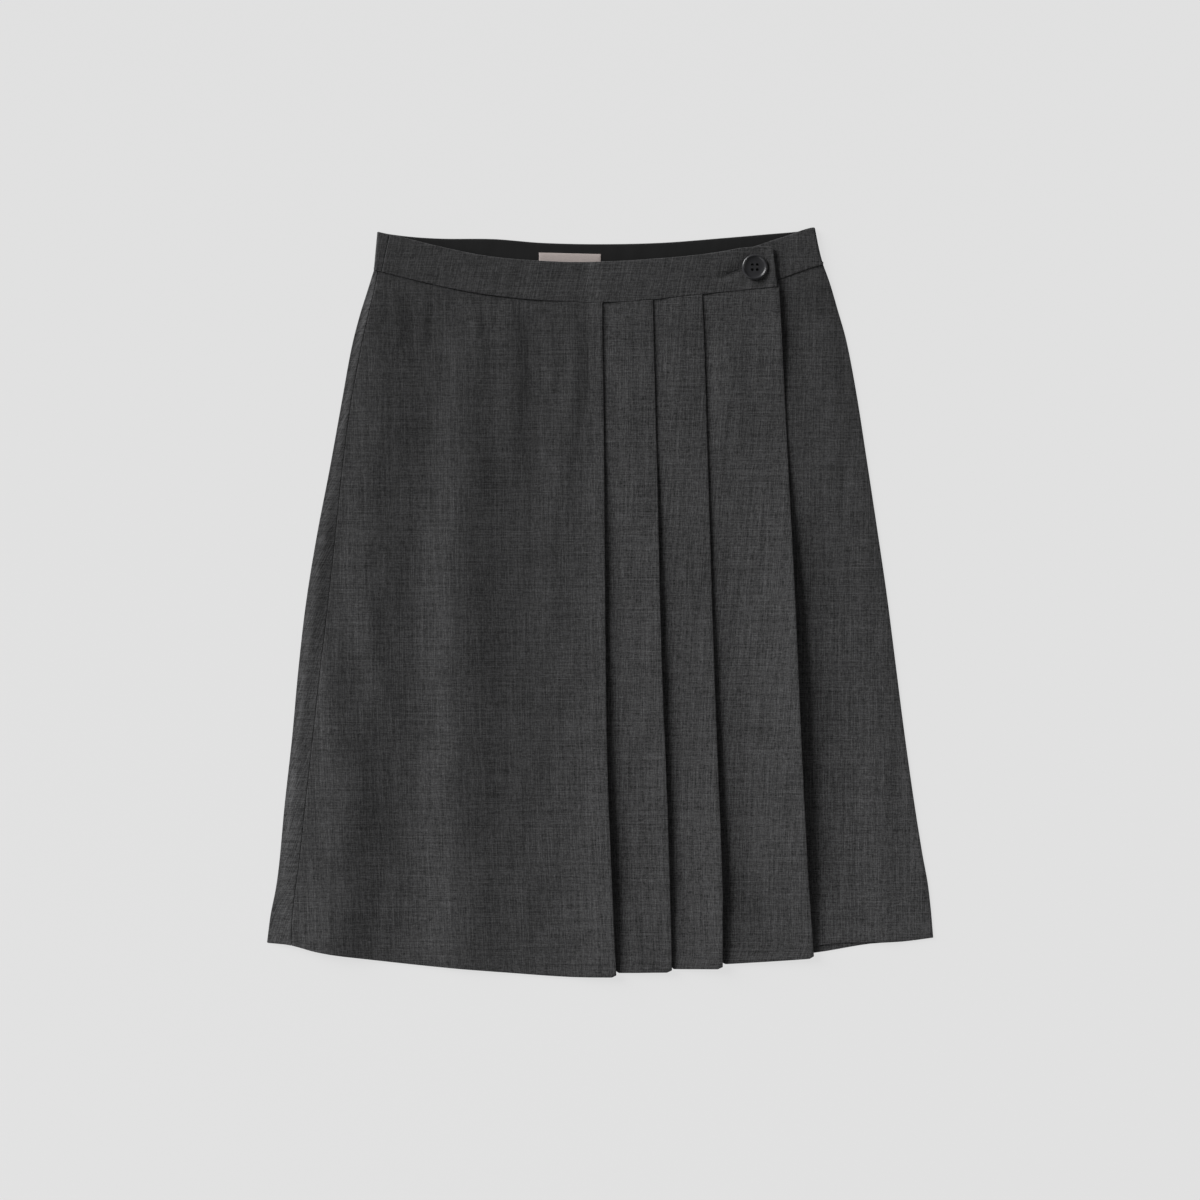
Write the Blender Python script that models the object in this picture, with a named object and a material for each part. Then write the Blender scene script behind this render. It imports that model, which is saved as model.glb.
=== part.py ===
"""Knee-length wrap skirt in dark grey wool, laid flat on its back.

The waist points to +Y, the front faces +Z and the underside rests at z = 0.
Every panel is one closed cloth wall. Its middle surface is worked out row by
row, from the waist seam to the hem, and then given the cloth's thickness.
Sizes are in millimetres until the mesh is made.
"""

import math

import bmesh
import bpy

MM = 0.001

# Cloth walls and the air between pieces that touch
CLOTH = 1.0
BAND_CLOTH = 1.6
FACING_CLOTH = 1.0
LABEL_CLOTH = 0.8
GAP = 0.3
LAYER = CLOTH + GAP

# Heights of the middle of each panel's cloth above the surface
BACK_LEVEL = CLOTH / 2
FRONT_LEVEL = BACK_LEVEL + LAYER

# Heights of the middle of each waistband piece
BACK_BAND_LEVEL = BAND_CLOTH / 2
FACING_LEVEL = BAND_CLOTH + GAP + FACING_CLOTH / 2
LOW_BAND_LEVEL = FACING_LEVEL + FACING_CLOTH / 2 + GAP + BAND_CLOTH / 2
LABEL_LEVEL = FACING_LEVEL + FACING_CLOTH / 2 + GAP + LABEL_CLOTH / 2
BAND_ON_LABEL_LEVEL = LABEL_LEVEL + LABEL_CLOTH / 2 + GAP + BAND_CLOTH / 2
HIGH_BAND_LEVEL = LOW_BAND_LEVEL + BAND_CLOTH + GAP

# Rows across each panel, as shares of the way from waist seam to hem
ROWS = (0.0, 0.025, 0.06, 0.11, 0.18, 0.26, 0.35, 0.44, 0.53, 0.62, 0.71, 0.8, 0.87, 0.915, 0.955, 1.0)
BAND_ROWS = (0.0, 0.33, 0.67, 1.0)
FOLD_SIDES = 4

# Lines that run down the skirt: x at each share of the way to the hem
LINE_NAMES = (
    "left_fold", "left_seam", "hidden_edge", "pleat_1", "pleat_2", "pleat_3", "wrap_edge", "right_fold",
)
LINES = (
    # share, left_fold, left_seam, hidden_edge, pleat_1, pleat_2, pleat_3, wrap_edge, right_fold
    (0.00, -192.5, -188.8, 3.5, 2.0, 44.8, 86.6, 151.8, 189.8),
    (0.03, -197.6, -191.9, 2.8, 2.0, 45.2, 87.4, 152.9, 196.1),
    (0.07, -204.9, -197.2, 2.0, 2.2, 45.8, 88.4, 154.1, 203.0),
    (0.12, -211.9, -203.4, 1.2, 2.7, 46.5, 89.3, 155.5, 209.9),
    (0.20, -220.1, -211.7, 0.0, 3.2, 47.6, 90.6, 157.8, 218.5),
    (0.30, -230.4, -219.2, -1.2, 3.7, 49.1, 92.4, 160.6, 227.4),
    (0.40, -241.3, -225.3, -2.0, 4.1, 50.3, 94.1, 163.5, 236.1),
    (0.50, -250.5, -231.6, -2.6, 4.6, 51.7, 95.8, 166.2, 244.5),
    (0.60, -256.9, -238.2, -3.0, 5.3, 53.6, 97.8, 168.6, 251.8),
    (0.70, -262.3, -244.6, -3.0, 6.5, 56.0, 100.0, 171.1, 258.9),
    (0.80, -268.3, -250.8, -3.0, 8.6, 58.1, 102.3, 174.0, 266.9),
    (0.88, -272.6, -255.8, -3.0, 10.6, 59.4, 103.8, 176.5, 274.3),
    (0.92, -275.6, -259.0, -3.0, 11.6, 60.0, 104.0, 178.2, 278.2),
    (0.96, -280.2, -261.4, -3.0, 12.7, 60.5, 104.0, 179.9, 281.0),
    (1.00, -283.2, -262.3, -3.0, 13.7, 60.9, 104.0, 181.4, 283.0),
)

# Top and bottom edges of the panels and bands: x and y of a few places
BACK_TOP = (
    (-192.5, 314.6), (-171.9, 312.4), (-131.1, 309.4), (-90.3, 308.7), (-49.5, 305.8), (0.0, 304.7),
    (52.5, 305.6), (103.5, 309.9), (144.3, 313.6), (182.2, 318.1), (192.0, 319.2),
)
BACK_SEAM = ((-194.0, 281.8), (-120.0, 275.5), (0.0, 270.0), (110.0, 276.5), (191.0, 287.3))
BACK_HEM = (
    (-284.0, -289.0), (-262.0, -291.0), (-150.0, -301.0), (0.0, -306.0), (120.0, -302.5),
    (181.7, -297.5), (227.6, -290.0), (258.2, -287.9), (284.0, -284.5),
)
OVER_BAND_TOP = (
    (-189.0, 314.3), (-165.9, 310.0), (-138.7, 304.2), (-104.7, 296.7), (-80.1, 293.0), (-51.2, 290.6),
    (-20.0, 289.5), (18.5, 291.3), (67.6, 295.0), (108.5, 300.1), (127.3, 302.4), (147.0, 303.6),
)
OVER_SEAM = (
    (-194.0, 282.5), (-170.2, 276.8), (-145.5, 270.8), (-123.7, 266.1), (-99.1, 261.7), (-55.4, 256.9),
    (2.2, 254.6), (44.9, 257.0), (86.5, 261.5), (152.0, 268.0),
)
UNDER_BAND_TOP = (
    (3.5, 289.0), (60.0, 292.0), (129.0, 301.4), (145.2, 306.4), (168.1, 315.6), (182.2, 318.1),
    (192.0, 319.2),
)
UNDER_SEAM = ((3.5, 255.6), (60.0, 260.0), (120.0, 267.5), (153.7, 275.2), (175.8, 282.9), (191.0, 287.3))
UNDER_HEM = (
    (-5.0, -304.0), (100.0, -298.0), (179.6, -291.8), (200.4, -289.4), (227.6, -288.5),
    (258.2, -287.2), (284.0, -284.5),
)

# The over wrap's hem falls in steps, one for each visible panel
OVER_HEMS = (
    (
        (-284.0, -288.5), (-262.0, -291.2), (-241.6, -296.4), (-211.0, -301.2), (-149.8, -308.3),
        (-88.6, -313.5), (-27.4, -317.8), (14.0, -318.2),
    ),
    ((-16.0, -314.6), (14.0, -314.6), (61.0, -314.0)),
    ((34.0, -311.3), (61.0, -311.3), (104.0, -311.0)),
    ((76.0, -308.6), (104.0, -307.2), (156.0, -304.0), (182.0, -302.0)),
)

# Knife pleats: how far each runs back under its fold, at the waist and at the hem
PLEAT_DEPTH_WAIST = 20.0
PLEAT_DEPTH_HEM = 27.0
FACING_WIDTH = 38.0

# How far each fold stands off the cloth below it: millimetres at each share
LIFT_NAMES = ("pleat_1", "pleat_2", "pleat_3", "wrap_edge")
LIFTS = (
    # share, pleat_1, pleat_2, pleat_3, wrap_edge
    (0.00, 0.0, 0.0, 0.0, 0.6),
    (0.07, 0.0, 0.1, 0.1, 1.6),
    (0.20, 0.1, 0.3, 0.3, 0.3),
    (0.30, 0.5, 0.6, 0.5, 0.7),
    (0.42, 1.1, 1.3, 0.9, 3.0),
    (0.60, 1.8, 1.7, 1.6, 4.2),
    (0.78, 2.4, 1.8, 2.6, 3.6),
    (0.90, 2.8, 2.0, 2.9, 2.2),
    (1.00, 2.2, 1.5, 2.3, 1.4),
)
LIFT_REACH = 22.0

# The sewn waist seam holds the panels up to the bands, and they sink below it
WAIST_SINK_SHARE = 0.075
SIDE_RISE = 1.9
PLEAT_RISE = 0.6
RISE_FADE_START = -70.0
RISE_FADE_END = -28.0
RISE_STEP_WIDTH = 15.0

# The under wrap's hidden edge lifts what lies over it, just to its left
EDGE_RAMP_START = 12.0
EDGE_RAMP_END = 4.0

# Soft folds of the left front: centre line, spread either side and height
SOFT_FOLDS = (
    # x_top, share_top, x_bottom, share_bottom, half_width, height
    (-126.0, -0.05, -126.0, 0.30, 17.0, 1.3),
    (-128.0, 0.22, -146.0, 0.95, 24.0, 2.3),
    (-214.0, 0.20, -213.0, 0.45, 12.0, 0.9),
    (-216.0, 0.40, -176.0, 0.74, 14.0, 1.1),
    (-237.0, 0.58, -244.0, 0.98, 11.0, 0.9),
    (-52.0, 0.02, -66.0, 0.50, 15.0, 1.0),
)
SOFT_FOLD_FADE = 0.09
SEAM_HOLD = 8.0
LEFT_RISE_WIDTH = 42.0
CLIMB_INSET = 3.0

# Columns across each visible panel of the over wrap, before and over its own pleat
OPEN_COLUMNS = (17, 6, 6, 7)
ZONE_COLUMNS = (8, 5, 5, 7)

# Side strips: the back shows in front at the left, the right front lies behind at the right
RIGHT_STRIP = 17.0
RIGHT_BAND_STRIP = 8.0
BAND_SEAM_TOP = -178.8
BAND_SEAM_BOTTOM = -185.6
OVER_BAND_END_TOP = 146.6
OVER_BAND_END_BOTTOM = 150.3
BAND_FOLD_TOP_LEFT = -189.4
BAND_FOLD_BOTTOM_LEFT = -192.4
BAND_FOLD_TOP_RIGHT = 183.0
BAND_FOLD_BOTTOM_RIGHT = 189.6

# Facing and label inside the back waistband
FACING_INSET = 0.5
FACING_SIDE_INSET = 3.4
LABEL_LEFT = -52.0
LABEL_RIGHT = 0.5
LABEL_TOP = 297.4
LABEL_HEIGHT = 22.0
LABEL_TILT = -0.025
LABEL_RAMP = 14.0

# Button
BUTTON_X = 131.4
BUTTON_Y = 284.5
BUTTON_HOLE_RADIUS = 1.0
BUTTON_HOLE_SPREAD = 2.0
BUTTON_SEGMENTS = 32
# Turned profile, from the centre of the face over the rim to the centre of the back
BUTTON_PROFILE = (
    # radius, height
    (0.0, 1.5),
    (4.6, 1.5),
    (6.6, 1.9),
    (8.0, 2.7),
    (9.2, 3.3),
    (10.3, 3.2),
    (11.1, 2.5),
    (11.3, 1.7),
    (10.8, 0.8),
    (9.0, 0.2),
    (6.0, 0.0),
    (0.0, 0.0),
)

# Colours
WOOL = (0.042, 0.042, 0.044, 1.0)
FACING_BLACK = (0.013, 0.013, 0.015, 1.0)
LABEL_BEIGE = (0.34, 0.29, 0.28, 1.0)
BUTTON_BLACK = (0.012, 0.012, 0.013, 1.0)


def mix(start, end, share):
    """The value a share of the way from start to end."""
    return start + (end - start) * share


def smooth_step(value):
    """0 below 0, 1 above 1, with an easy rise between."""
    value = min(max(value, 0.0), 1.0)
    return value * value * (3.0 - 2.0 * value)


def slope_at(points, i):
    """Slope of the curve through (x, y) points at point i."""
    before = points[max(i - 1, 0)]
    after = points[min(i + 1, len(points) - 1)]
    return (after[1] - before[1]) / (after[0] - before[0])


def curve_at(points, x):
    """Height at x of a smooth curve through (x, y) points, straight past its ends."""
    if x <= points[0][0]:
        return points[0][1] + slope_at(points, 0) * (x - points[0][0])
    if x >= points[-1][0]:
        return points[-1][1] + slope_at(points, len(points) - 1) * (x - points[-1][0])
    i = 0
    while points[i + 1][0] < x:
        i += 1
    x0, y0 = points[i]
    x1, y1 = points[i + 1]
    span = x1 - x0
    t = (x - x0) / span
    m0 = slope_at(points, i) * span
    m1 = slope_at(points, i + 1) * span
    return (
        (2 * t ** 3 - 3 * t ** 2 + 1) * y0
        + (t ** 3 - 2 * t ** 2 + t) * m0
        + (3 * t ** 2 - 2 * t ** 3) * y1
        + (t ** 3 - t ** 2) * m1
    )


def column(table, names, name):
    """The (share, value) pairs of one named column of a table."""
    place = 1 + names.index(name)
    return tuple((row[0], row[place]) for row in table)


def line(name, share):
    """x of a named line at a share of the way down."""
    return curve_at(column(LINES, LINE_NAMES, name), share)


def lift(name, share):
    """How far a named fold stands off at a share of the way down."""
    return max(curve_at(column(LIFTS, LIFT_NAMES, name), share), 0.0)


def spread(start, end, count):
    """Evenly spaced values from start to end, both included."""
    return [mix(start, end, i / (count - 1)) for i in range(count)]


def turn(x, z_from, z_to, side):
    """A half turn of cloth whose middle starts at (x, z_from), bulges to one side and ends at (x, z_to)."""
    middle = (z_from + z_to) / 2
    radius = (z_from - z_to) / 2
    points = []
    for i in range(1, FOLD_SIDES):
        angle = math.pi * i / FOLD_SIDES
        points.append((x + side * abs(radius) * math.sin(angle), middle + radius * math.cos(angle)))
    return points


def sink(share):
    """1 at the sewn waist seam, 0 once the cloth has come down to what it lies on."""
    return 1.0 - smooth_step(share / WAIST_SINK_SHARE)


def over_rise(x, share):
    """How far the waist seam holds the over wrap up."""
    fade = smooth_step((x - RISE_FADE_START) / (RISE_FADE_END - RISE_FADE_START))
    return mix(SIDE_RISE, PLEAT_RISE, fade) * sink(share)


def under_rise(x, share):
    """How far the waist seam holds the under wrap up: little under the wrap, more beside it."""
    beside = smooth_step((x - line("wrap_edge", share) - 1.0) / RISE_STEP_WIDTH)
    return mix(PLEAT_RISE, SIDE_RISE, beside) * sink(share)


def over_base(x, share):
    """Height of cloth that lies straight on the back, or on the under wrap."""
    edge = line("hidden_edge", share)
    start = edge - EDGE_RAMP_START
    end = edge - EDGE_RAMP_END
    return FRONT_LEVEL + LAYER * smooth_step((x - start) / (end - start)) + over_rise(x, share)


def soft_folds(x, share):
    """Height that the soft folds of the left front add at a place."""
    height = 0.0
    for x_top, share_top, x_bottom, share_bottom, half_width, tall in SOFT_FOLDS:
        along = (share - share_top) / (share_bottom - share_top)
        centre = mix(x_top, x_bottom, along)
        across = abs(x - centre) / half_width
        if across >= 1.0:
            continue
        fade_in = smooth_step((share - share_top) / SOFT_FOLD_FADE)
        fade_out = smooth_step((share_bottom - share) / SOFT_FOLD_FADE)
        height += tall * 0.5 * (1.0 + math.cos(math.pi * across)) * fade_in * fade_out
    return height


def fold_lift(x, fold_x, amount):
    """A fold's lift at x, which grows towards the fold."""
    reach = min(max((x - fold_x + LIFT_REACH) / LIFT_REACH, 0.0), 1.0)
    return amount * reach ** 2


def pleat_depth(share):
    """How far a pleat runs back under its fold."""
    return mix(PLEAT_DEPTH_WAIST, PLEAT_DEPTH_HEM, share)


def over_wrap_path(share):
    """Middle of the over wrap across one row: (x, z, panel), where panel picks the hem."""
    names = ("pleat_1", "pleat_2", "pleat_3", "wrap_edge")
    path = []
    start_x = line("left_seam", share) + GAP / 2
    seam_x = start_x
    for i, name in enumerate(names):
        fold_x = line(name, share)
        amount = lift(name, share)
        last = name == "wrap_edge"
        layers = 1 if last else 2
        depth = FACING_WIDTH if last else pleat_depth(share)
        radius = LAYER / 2
        outer_x = fold_x - CLOTH / 2 - radius
        inner_x = fold_x - depth + CLOTH / 2 + radius
        zone = spread(inner_x, outer_x, ZONE_COLUMNS[i])
        climb_start = inner_x - LEFT_RISE_WIDTH if i == 0 else start_x + CLIMB_INSET
        climb_end = inner_x
        for x in spread(start_x, inner_x, OPEN_COLUMNS[i])[:-1] + zone:
            climb = layers * LAYER * smooth_step((x - climb_start) / (climb_end - climb_start))
            z = over_base(x, share) + climb + fold_lift(x, fold_x, amount)
            if i == 0:
                z += soft_folds(x, share) * smooth_step((x - seam_x) / SEAM_HOLD)
            path.append((x, z, float(i)))
        top_z = path[-1][1]
        path += [(x, z, float(i)) for x, z in turn(outer_x, top_z, top_z - LAYER, 1)]
        for x in reversed(zone):
            under = 0.0 if last else (outer_x - x) / (outer_x - inner_x)
            z = over_base(x, share) + (layers - 1) * LAYER + fold_lift(x, fold_x, amount)
            path.append((x, z, i + under))
        if last:
            return path
        low_z = over_base(inner_x, share)
        path += [(x, z, i + 1.0) for x, z in turn(inner_x, path[-1][1], low_z, -1)]
        path += [(x, over_base(x, share), i + 1.0) for x in zone]
        start_x = outer_x
    return path


def over_hem(x, panel):
    """Hem of the over wrap at x, between the steps of two neighbouring panels."""
    first = min(int(panel), len(OVER_HEMS) - 2)
    return mix(curve_at(OVER_HEMS[first], x), curve_at(OVER_HEMS[first + 1], x), panel - first)


def over_wrap_row(share):
    """Points of the over wrap's middle across one row."""
    row = []
    for x, z, panel in over_wrap_path(share):
        y_top = curve_at(OVER_SEAM, x) - GAP / 2
        row.append((x, mix(y_top, over_hem(x, panel), share), z))
    return row


def under_wrap_row(share):
    """Points of the under wrap's middle: front from its hidden edge, right fold, strip below."""
    fold_x = line("right_fold", share)
    front_z = FRONT_LEVEL + under_rise(fold_x, share)
    radius = (front_z - BACK_LEVEL) / 2
    outer_x = fold_x - CLOTH / 2 - radius
    row = []
    for x in spread(line("hidden_edge", share), outer_x, 16):
        y_top = curve_at(UNDER_SEAM, x) - GAP / 2
        z = FRONT_LEVEL + under_rise(x, share)
        row.append((x, mix(y_top, curve_at(UNDER_HEM, x), share), z))
    for x, z in turn(outer_x, front_z, BACK_LEVEL, 1):
        y_top = curve_at(UNDER_SEAM, x) - GAP / 2
        row.append((x, mix(y_top, curve_at(UNDER_HEM, x), share), z))
    for x in spread(outer_x, fold_x - RIGHT_STRIP + GAP / 2, 3):
        y_top = curve_at(BACK_SEAM, x) - GAP / 2
        row.append((x, mix(y_top, curve_at(BACK_HEM, x), share), BACK_LEVEL))
    return row


def back_row(share):
    """Points of the back's middle: flat below, left fold, and the strip that shows in front."""
    fold_x = line("left_fold", share)
    front_z = FRONT_LEVEL + SIDE_RISE * sink(share)
    radius = (front_z - BACK_LEVEL) / 2
    outer_x = fold_x + CLOTH / 2 + radius
    row = []
    for x in spread(line("right_fold", share) - RIGHT_STRIP - GAP / 2, outer_x, 20):
        y_top = curve_at(BACK_SEAM, x) - GAP / 2
        row.append((x, mix(y_top, curve_at(BACK_HEM, x), share), BACK_LEVEL))
    for x, z in turn(outer_x, BACK_LEVEL, front_z, -1):
        y_top = curve_at(OVER_SEAM, x) - GAP / 2
        row.append((x, mix(y_top, over_hem(x, 0.0), share), z))
    for x in spread(outer_x, line("left_seam", share) - GAP / 2, 4):
        y_top = curve_at(OVER_SEAM, x) - GAP / 2
        row.append((x, mix(y_top, over_hem(x, 0.0), share), front_z))
    return row


def over_band_level(x):
    """Middle of the over wrap's band: on the facing, then the label, then the under wrap's band."""
    on_label = smooth_step((x - LABEL_LEFT + LABEL_RAMP) / LABEL_RAMP)
    on_band = smooth_step((x - LABEL_RIGHT + LABEL_RAMP) / LABEL_RAMP)
    level = mix(LOW_BAND_LEVEL, BAND_ON_LABEL_LEVEL, on_label)
    return mix(level, HIGH_BAND_LEVEL, on_band)


def over_band_row(share):
    """Points of the over wrap band's middle across one row."""
    start = mix(BAND_SEAM_TOP, BAND_SEAM_BOTTOM, share) + GAP / 2
    end = mix(OVER_BAND_END_TOP, OVER_BAND_END_BOTTOM, share)
    row = []
    for x in spread(start, end, 32):
        y = mix(curve_at(OVER_BAND_TOP, x), curve_at(OVER_SEAM, x) + GAP / 2, share)
        row.append((x, y, over_band_level(x)))
    return row


def under_band_row(share):
    """Points of the under wrap band's middle: front, right fold and the strip below."""
    fold_x = mix(BAND_FOLD_TOP_RIGHT, BAND_FOLD_BOTTOM_RIGHT, share)
    radius = (LOW_BAND_LEVEL - BACK_BAND_LEVEL) / 2
    outer_x = fold_x - BAND_CLOTH / 2 - radius
    path = [(x, LOW_BAND_LEVEL) for x in spread(LABEL_RIGHT + 3.0, outer_x, 18)]
    path += turn(outer_x, LOW_BAND_LEVEL, BACK_BAND_LEVEL, 1)
    path += [(x, BACK_BAND_LEVEL) for x in spread(outer_x, fold_x - RIGHT_BAND_STRIP + GAP / 2, 3)]
    row = []
    for i, (x, z) in enumerate(path):
        if i < 18 + FOLD_SIDES - 1:
            y = mix(curve_at(UNDER_BAND_TOP, x), curve_at(UNDER_SEAM, x) + GAP / 2, share)
        else:
            y = mix(curve_at(BACK_TOP, x), curve_at(BACK_SEAM, x) + GAP / 2, share)
        row.append((x, y, z))
    return row


def back_band_row(share):
    """Points of the back waistband's middle: below, left fold and the strip in front."""
    left_x = mix(BAND_FOLD_TOP_LEFT, BAND_FOLD_BOTTOM_LEFT, share)
    right_x = mix(BAND_FOLD_TOP_RIGHT, BAND_FOLD_BOTTOM_RIGHT, share) - RIGHT_BAND_STRIP - GAP / 2
    radius = (LOW_BAND_LEVEL - BACK_BAND_LEVEL) / 2
    outer_x = left_x + BAND_CLOTH / 2 + radius
    seam_x = mix(BAND_SEAM_TOP, BAND_SEAM_BOTTOM, share) - GAP / 2
    path = [(x, BACK_BAND_LEVEL) for x in spread(right_x, outer_x, 24)]
    path += turn(outer_x, BACK_BAND_LEVEL, LOW_BAND_LEVEL, -1)
    path += [(x, LOW_BAND_LEVEL) for x in spread(outer_x, seam_x, 3)]
    row = []
    for i, (x, z) in enumerate(path):
        if i < 24:
            y = mix(curve_at(BACK_TOP, x), curve_at(BACK_SEAM, x) + GAP / 2, share)
        else:
            y = mix(curve_at(OVER_BAND_TOP, x), curve_at(OVER_SEAM, x) + GAP / 2, share)
        row.append((x, y, z))
    return row


def facing_row(share):
    """Points of the facing's middle, which lies on the back waistband."""
    left_x = mix(BAND_FOLD_TOP_LEFT, BAND_FOLD_BOTTOM_LEFT, share) + FACING_SIDE_INSET
    right_x = mix(BAND_FOLD_TOP_RIGHT, BAND_FOLD_BOTTOM_RIGHT, share) - FACING_SIDE_INSET
    row = []
    for x in spread(left_x, right_x, 24):
        y = mix(curve_at(BACK_TOP, x) - FACING_INSET, curve_at(BACK_SEAM, x) + GAP / 2, share)
        row.append((x, y, FACING_LEVEL))
    return row


def label_row(share):
    """Points of the label's middle, level with the facing that carries it."""
    row = []
    for x in spread(LABEL_LEFT, LABEL_RIGHT, 5):
        y = LABEL_TOP + LABEL_TILT * (x - LABEL_LEFT) - LABEL_HEIGHT * share
        row.append((x, y, LABEL_LEVEL))
    return row


def across(before, after):
    """Unit direction from one row point to the next, seen along the skirt."""
    dx = after[0] - before[0]
    dz = after[2] - before[2]
    length = math.hypot(dx, dz)
    return dx / length, dz / length


def offset_row(row, distance):
    """The row moved square to its own run, to its left as it goes."""
    moved = []
    last = len(row) - 1
    for i, (x, y, z) in enumerate(row):
        ahead = across(row[i], row[i + 1]) if i < last else across(row[i - 1], row[i])
        behind = across(row[i - 1], row[i]) if i > 0 else ahead
        tx = ahead[0] + behind[0]
        tz = ahead[1] + behind[1]
        length = math.hypot(tx, tz)
        moved.append((x - distance * tz / length, y, z + distance * tx / length))
    return moved


def drop_repeats(row):
    """The row without points that fall on the one before them."""
    kept = [row[0]]
    for point in row[1:]:
        if math.dist(point, kept[-1]) > 0.01:
            kept.append(point)
    return kept


def material(name, colour, roughness):
    """A plain surface of one colour."""
    made = bpy.data.materials.new(name)
    made.use_nodes = True
    shader = made.node_tree.nodes["Principled BSDF"]
    shader.inputs["Base Color"].default_value = colour
    shader.inputs["Roughness"].default_value = roughness
    shader.inputs["Metallic"].default_value = 0.0
    made.diffuse_color = colour
    return made


def add_object(name, mesh, surface):
    """Link a mesh to the scene as a named object with its material."""
    mesh.materials.append(surface)
    made = bpy.data.objects.new(name, mesh)
    bpy.context.scene.collection.objects.link(made)
    return made


def wall(name, row_of, shares, thickness, surface):
    """One closed cloth wall around the middle surface that row_of gives for each share."""
    middle = [drop_repeats(row_of(share)) for share in shares]
    sides = [[offset_row(row, side * thickness / 2) for row in middle] for side in (1, -1)]
    bm = bmesh.new()
    grids = [[[bm.verts.new([MM * c for c in p]) for p in row] for row in side] for side in sides]
    upper, lower = grids
    rows = len(upper)
    columns = len(upper[0])
    for r in range(rows - 1):
        for c in range(columns - 1):
            bm.faces.new((upper[r][c], upper[r + 1][c], upper[r + 1][c + 1], upper[r][c + 1]))
            bm.faces.new((lower[r][c], lower[r][c + 1], lower[r + 1][c + 1], lower[r + 1][c]))
    for r in range(rows - 1):
        for c in (0, columns - 1):
            bm.faces.new((upper[r][c], upper[r + 1][c], lower[r + 1][c], lower[r][c]))
    for c in range(columns - 1):
        for r in (0, rows - 1):
            bm.faces.new((upper[r][c], upper[r][c + 1], lower[r][c + 1], lower[r][c]))
    bmesh.ops.recalc_face_normals(bm, faces=bm.faces)
    mesh = bpy.data.meshes.new(name)
    bm.to_mesh(mesh)
    bm.free()
    return add_object(name, mesh, surface)


def turned_button(name, surface):
    """Turn the button's profile about its axis and drill its four holes."""
    bm = bmesh.new()
    rings = []
    for radius, height in BUTTON_PROFILE:
        if radius == 0.0:
            rings.append([bm.verts.new((0.0, 0.0, MM * height))])
            continue
        ring = []
        for i in range(BUTTON_SEGMENTS):
            angle = 2 * math.pi * i / BUTTON_SEGMENTS
            place = (radius * math.cos(angle), radius * math.sin(angle), height)
            ring.append(bm.verts.new([MM * c for c in place]))
        rings.append(ring)
    for one, two in zip(rings, rings[1:]):
        for i in range(BUTTON_SEGMENTS):
            j = (i + 1) % BUTTON_SEGMENTS
            if len(one) == 1:
                bm.faces.new((one[0], two[i], two[j]))
            elif len(two) == 1:
                bm.faces.new((one[i], two[0], one[j]))
            else:
                bm.faces.new((one[i], two[i], two[j], one[j]))
    bmesh.ops.recalc_face_normals(bm, faces=bm.faces)
    mesh = bpy.data.meshes.new(name)
    bm.to_mesh(mesh)
    bm.free()
    button = add_object(name, mesh, surface)
    button.location = (MM * BUTTON_X, MM * BUTTON_Y, MM * (HIGH_BAND_LEVEL + BAND_CLOTH / 2 + GAP))
    for i in range(4):
        angle = math.pi / 4 + i * math.pi / 2
        reach = MM * BUTTON_HOLE_SPREAD * math.sqrt(2)
        bpy.ops.mesh.primitive_cylinder_add(
            vertices=16,
            radius=MM * BUTTON_HOLE_RADIUS,
            depth=MM * 12.0,
            location=(
                button.location.x + reach * math.cos(angle),
                button.location.y + reach * math.sin(angle),
                button.location.z,
            ),
        )
        cutter = bpy.context.object
        cutter.name = name + "_hole_cutter_" + str(i + 1)
        cutter.hide_render = True
        cutter.display_type = "WIRE"
        drill = button.modifiers.new("hole_" + str(i + 1), "BOOLEAN")
        drill.operation = "DIFFERENCE"
        drill.object = cutter
    return button


def build():
    """Make every piece of the skirt."""
    for old in list(bpy.data.objects):
        bpy.data.objects.remove(old, do_unlink=True)
    wool = material("charcoal_wool", WOOL, 0.95)
    facing = material("facing_cloth", FACING_BLACK, 0.8)
    woven = material("label_cloth", LABEL_BEIGE, 0.7)
    glossy = material("button_resin", BUTTON_BLACK, 0.2)
    wall("back_panel", back_row, ROWS, CLOTH, wool)
    wall("under_wrap_panel", under_wrap_row, ROWS, CLOTH, wool)
    wall("over_wrap_panel", over_wrap_row, ROWS, CLOTH, wool)
    wall("back_waistband", back_band_row, BAND_ROWS, BAND_CLOTH, wool)
    wall("under_wrap_band", under_band_row, BAND_ROWS, BAND_CLOTH, wool)
    wall("over_wrap_band", over_band_row, BAND_ROWS, BAND_CLOTH, wool)
    wall("waistband_facing", facing_row, BAND_ROWS, FACING_CLOTH, facing)
    wall("label", label_row, (0.0, 1.0), LABEL_CLOTH, woven)
    turned_button("button", glossy)


build()
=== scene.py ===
"""Dark grey wool wrap skirt, laid flat: its cloth as thin folded shells, its finishes, light and camera.

The waist points to +Y and the front faces +Z. Sizes are in millimetres until a mesh is made.
"""

import math

import bmesh
import bpy
import numpy as np
from mathutils import Matrix, Vector


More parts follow.
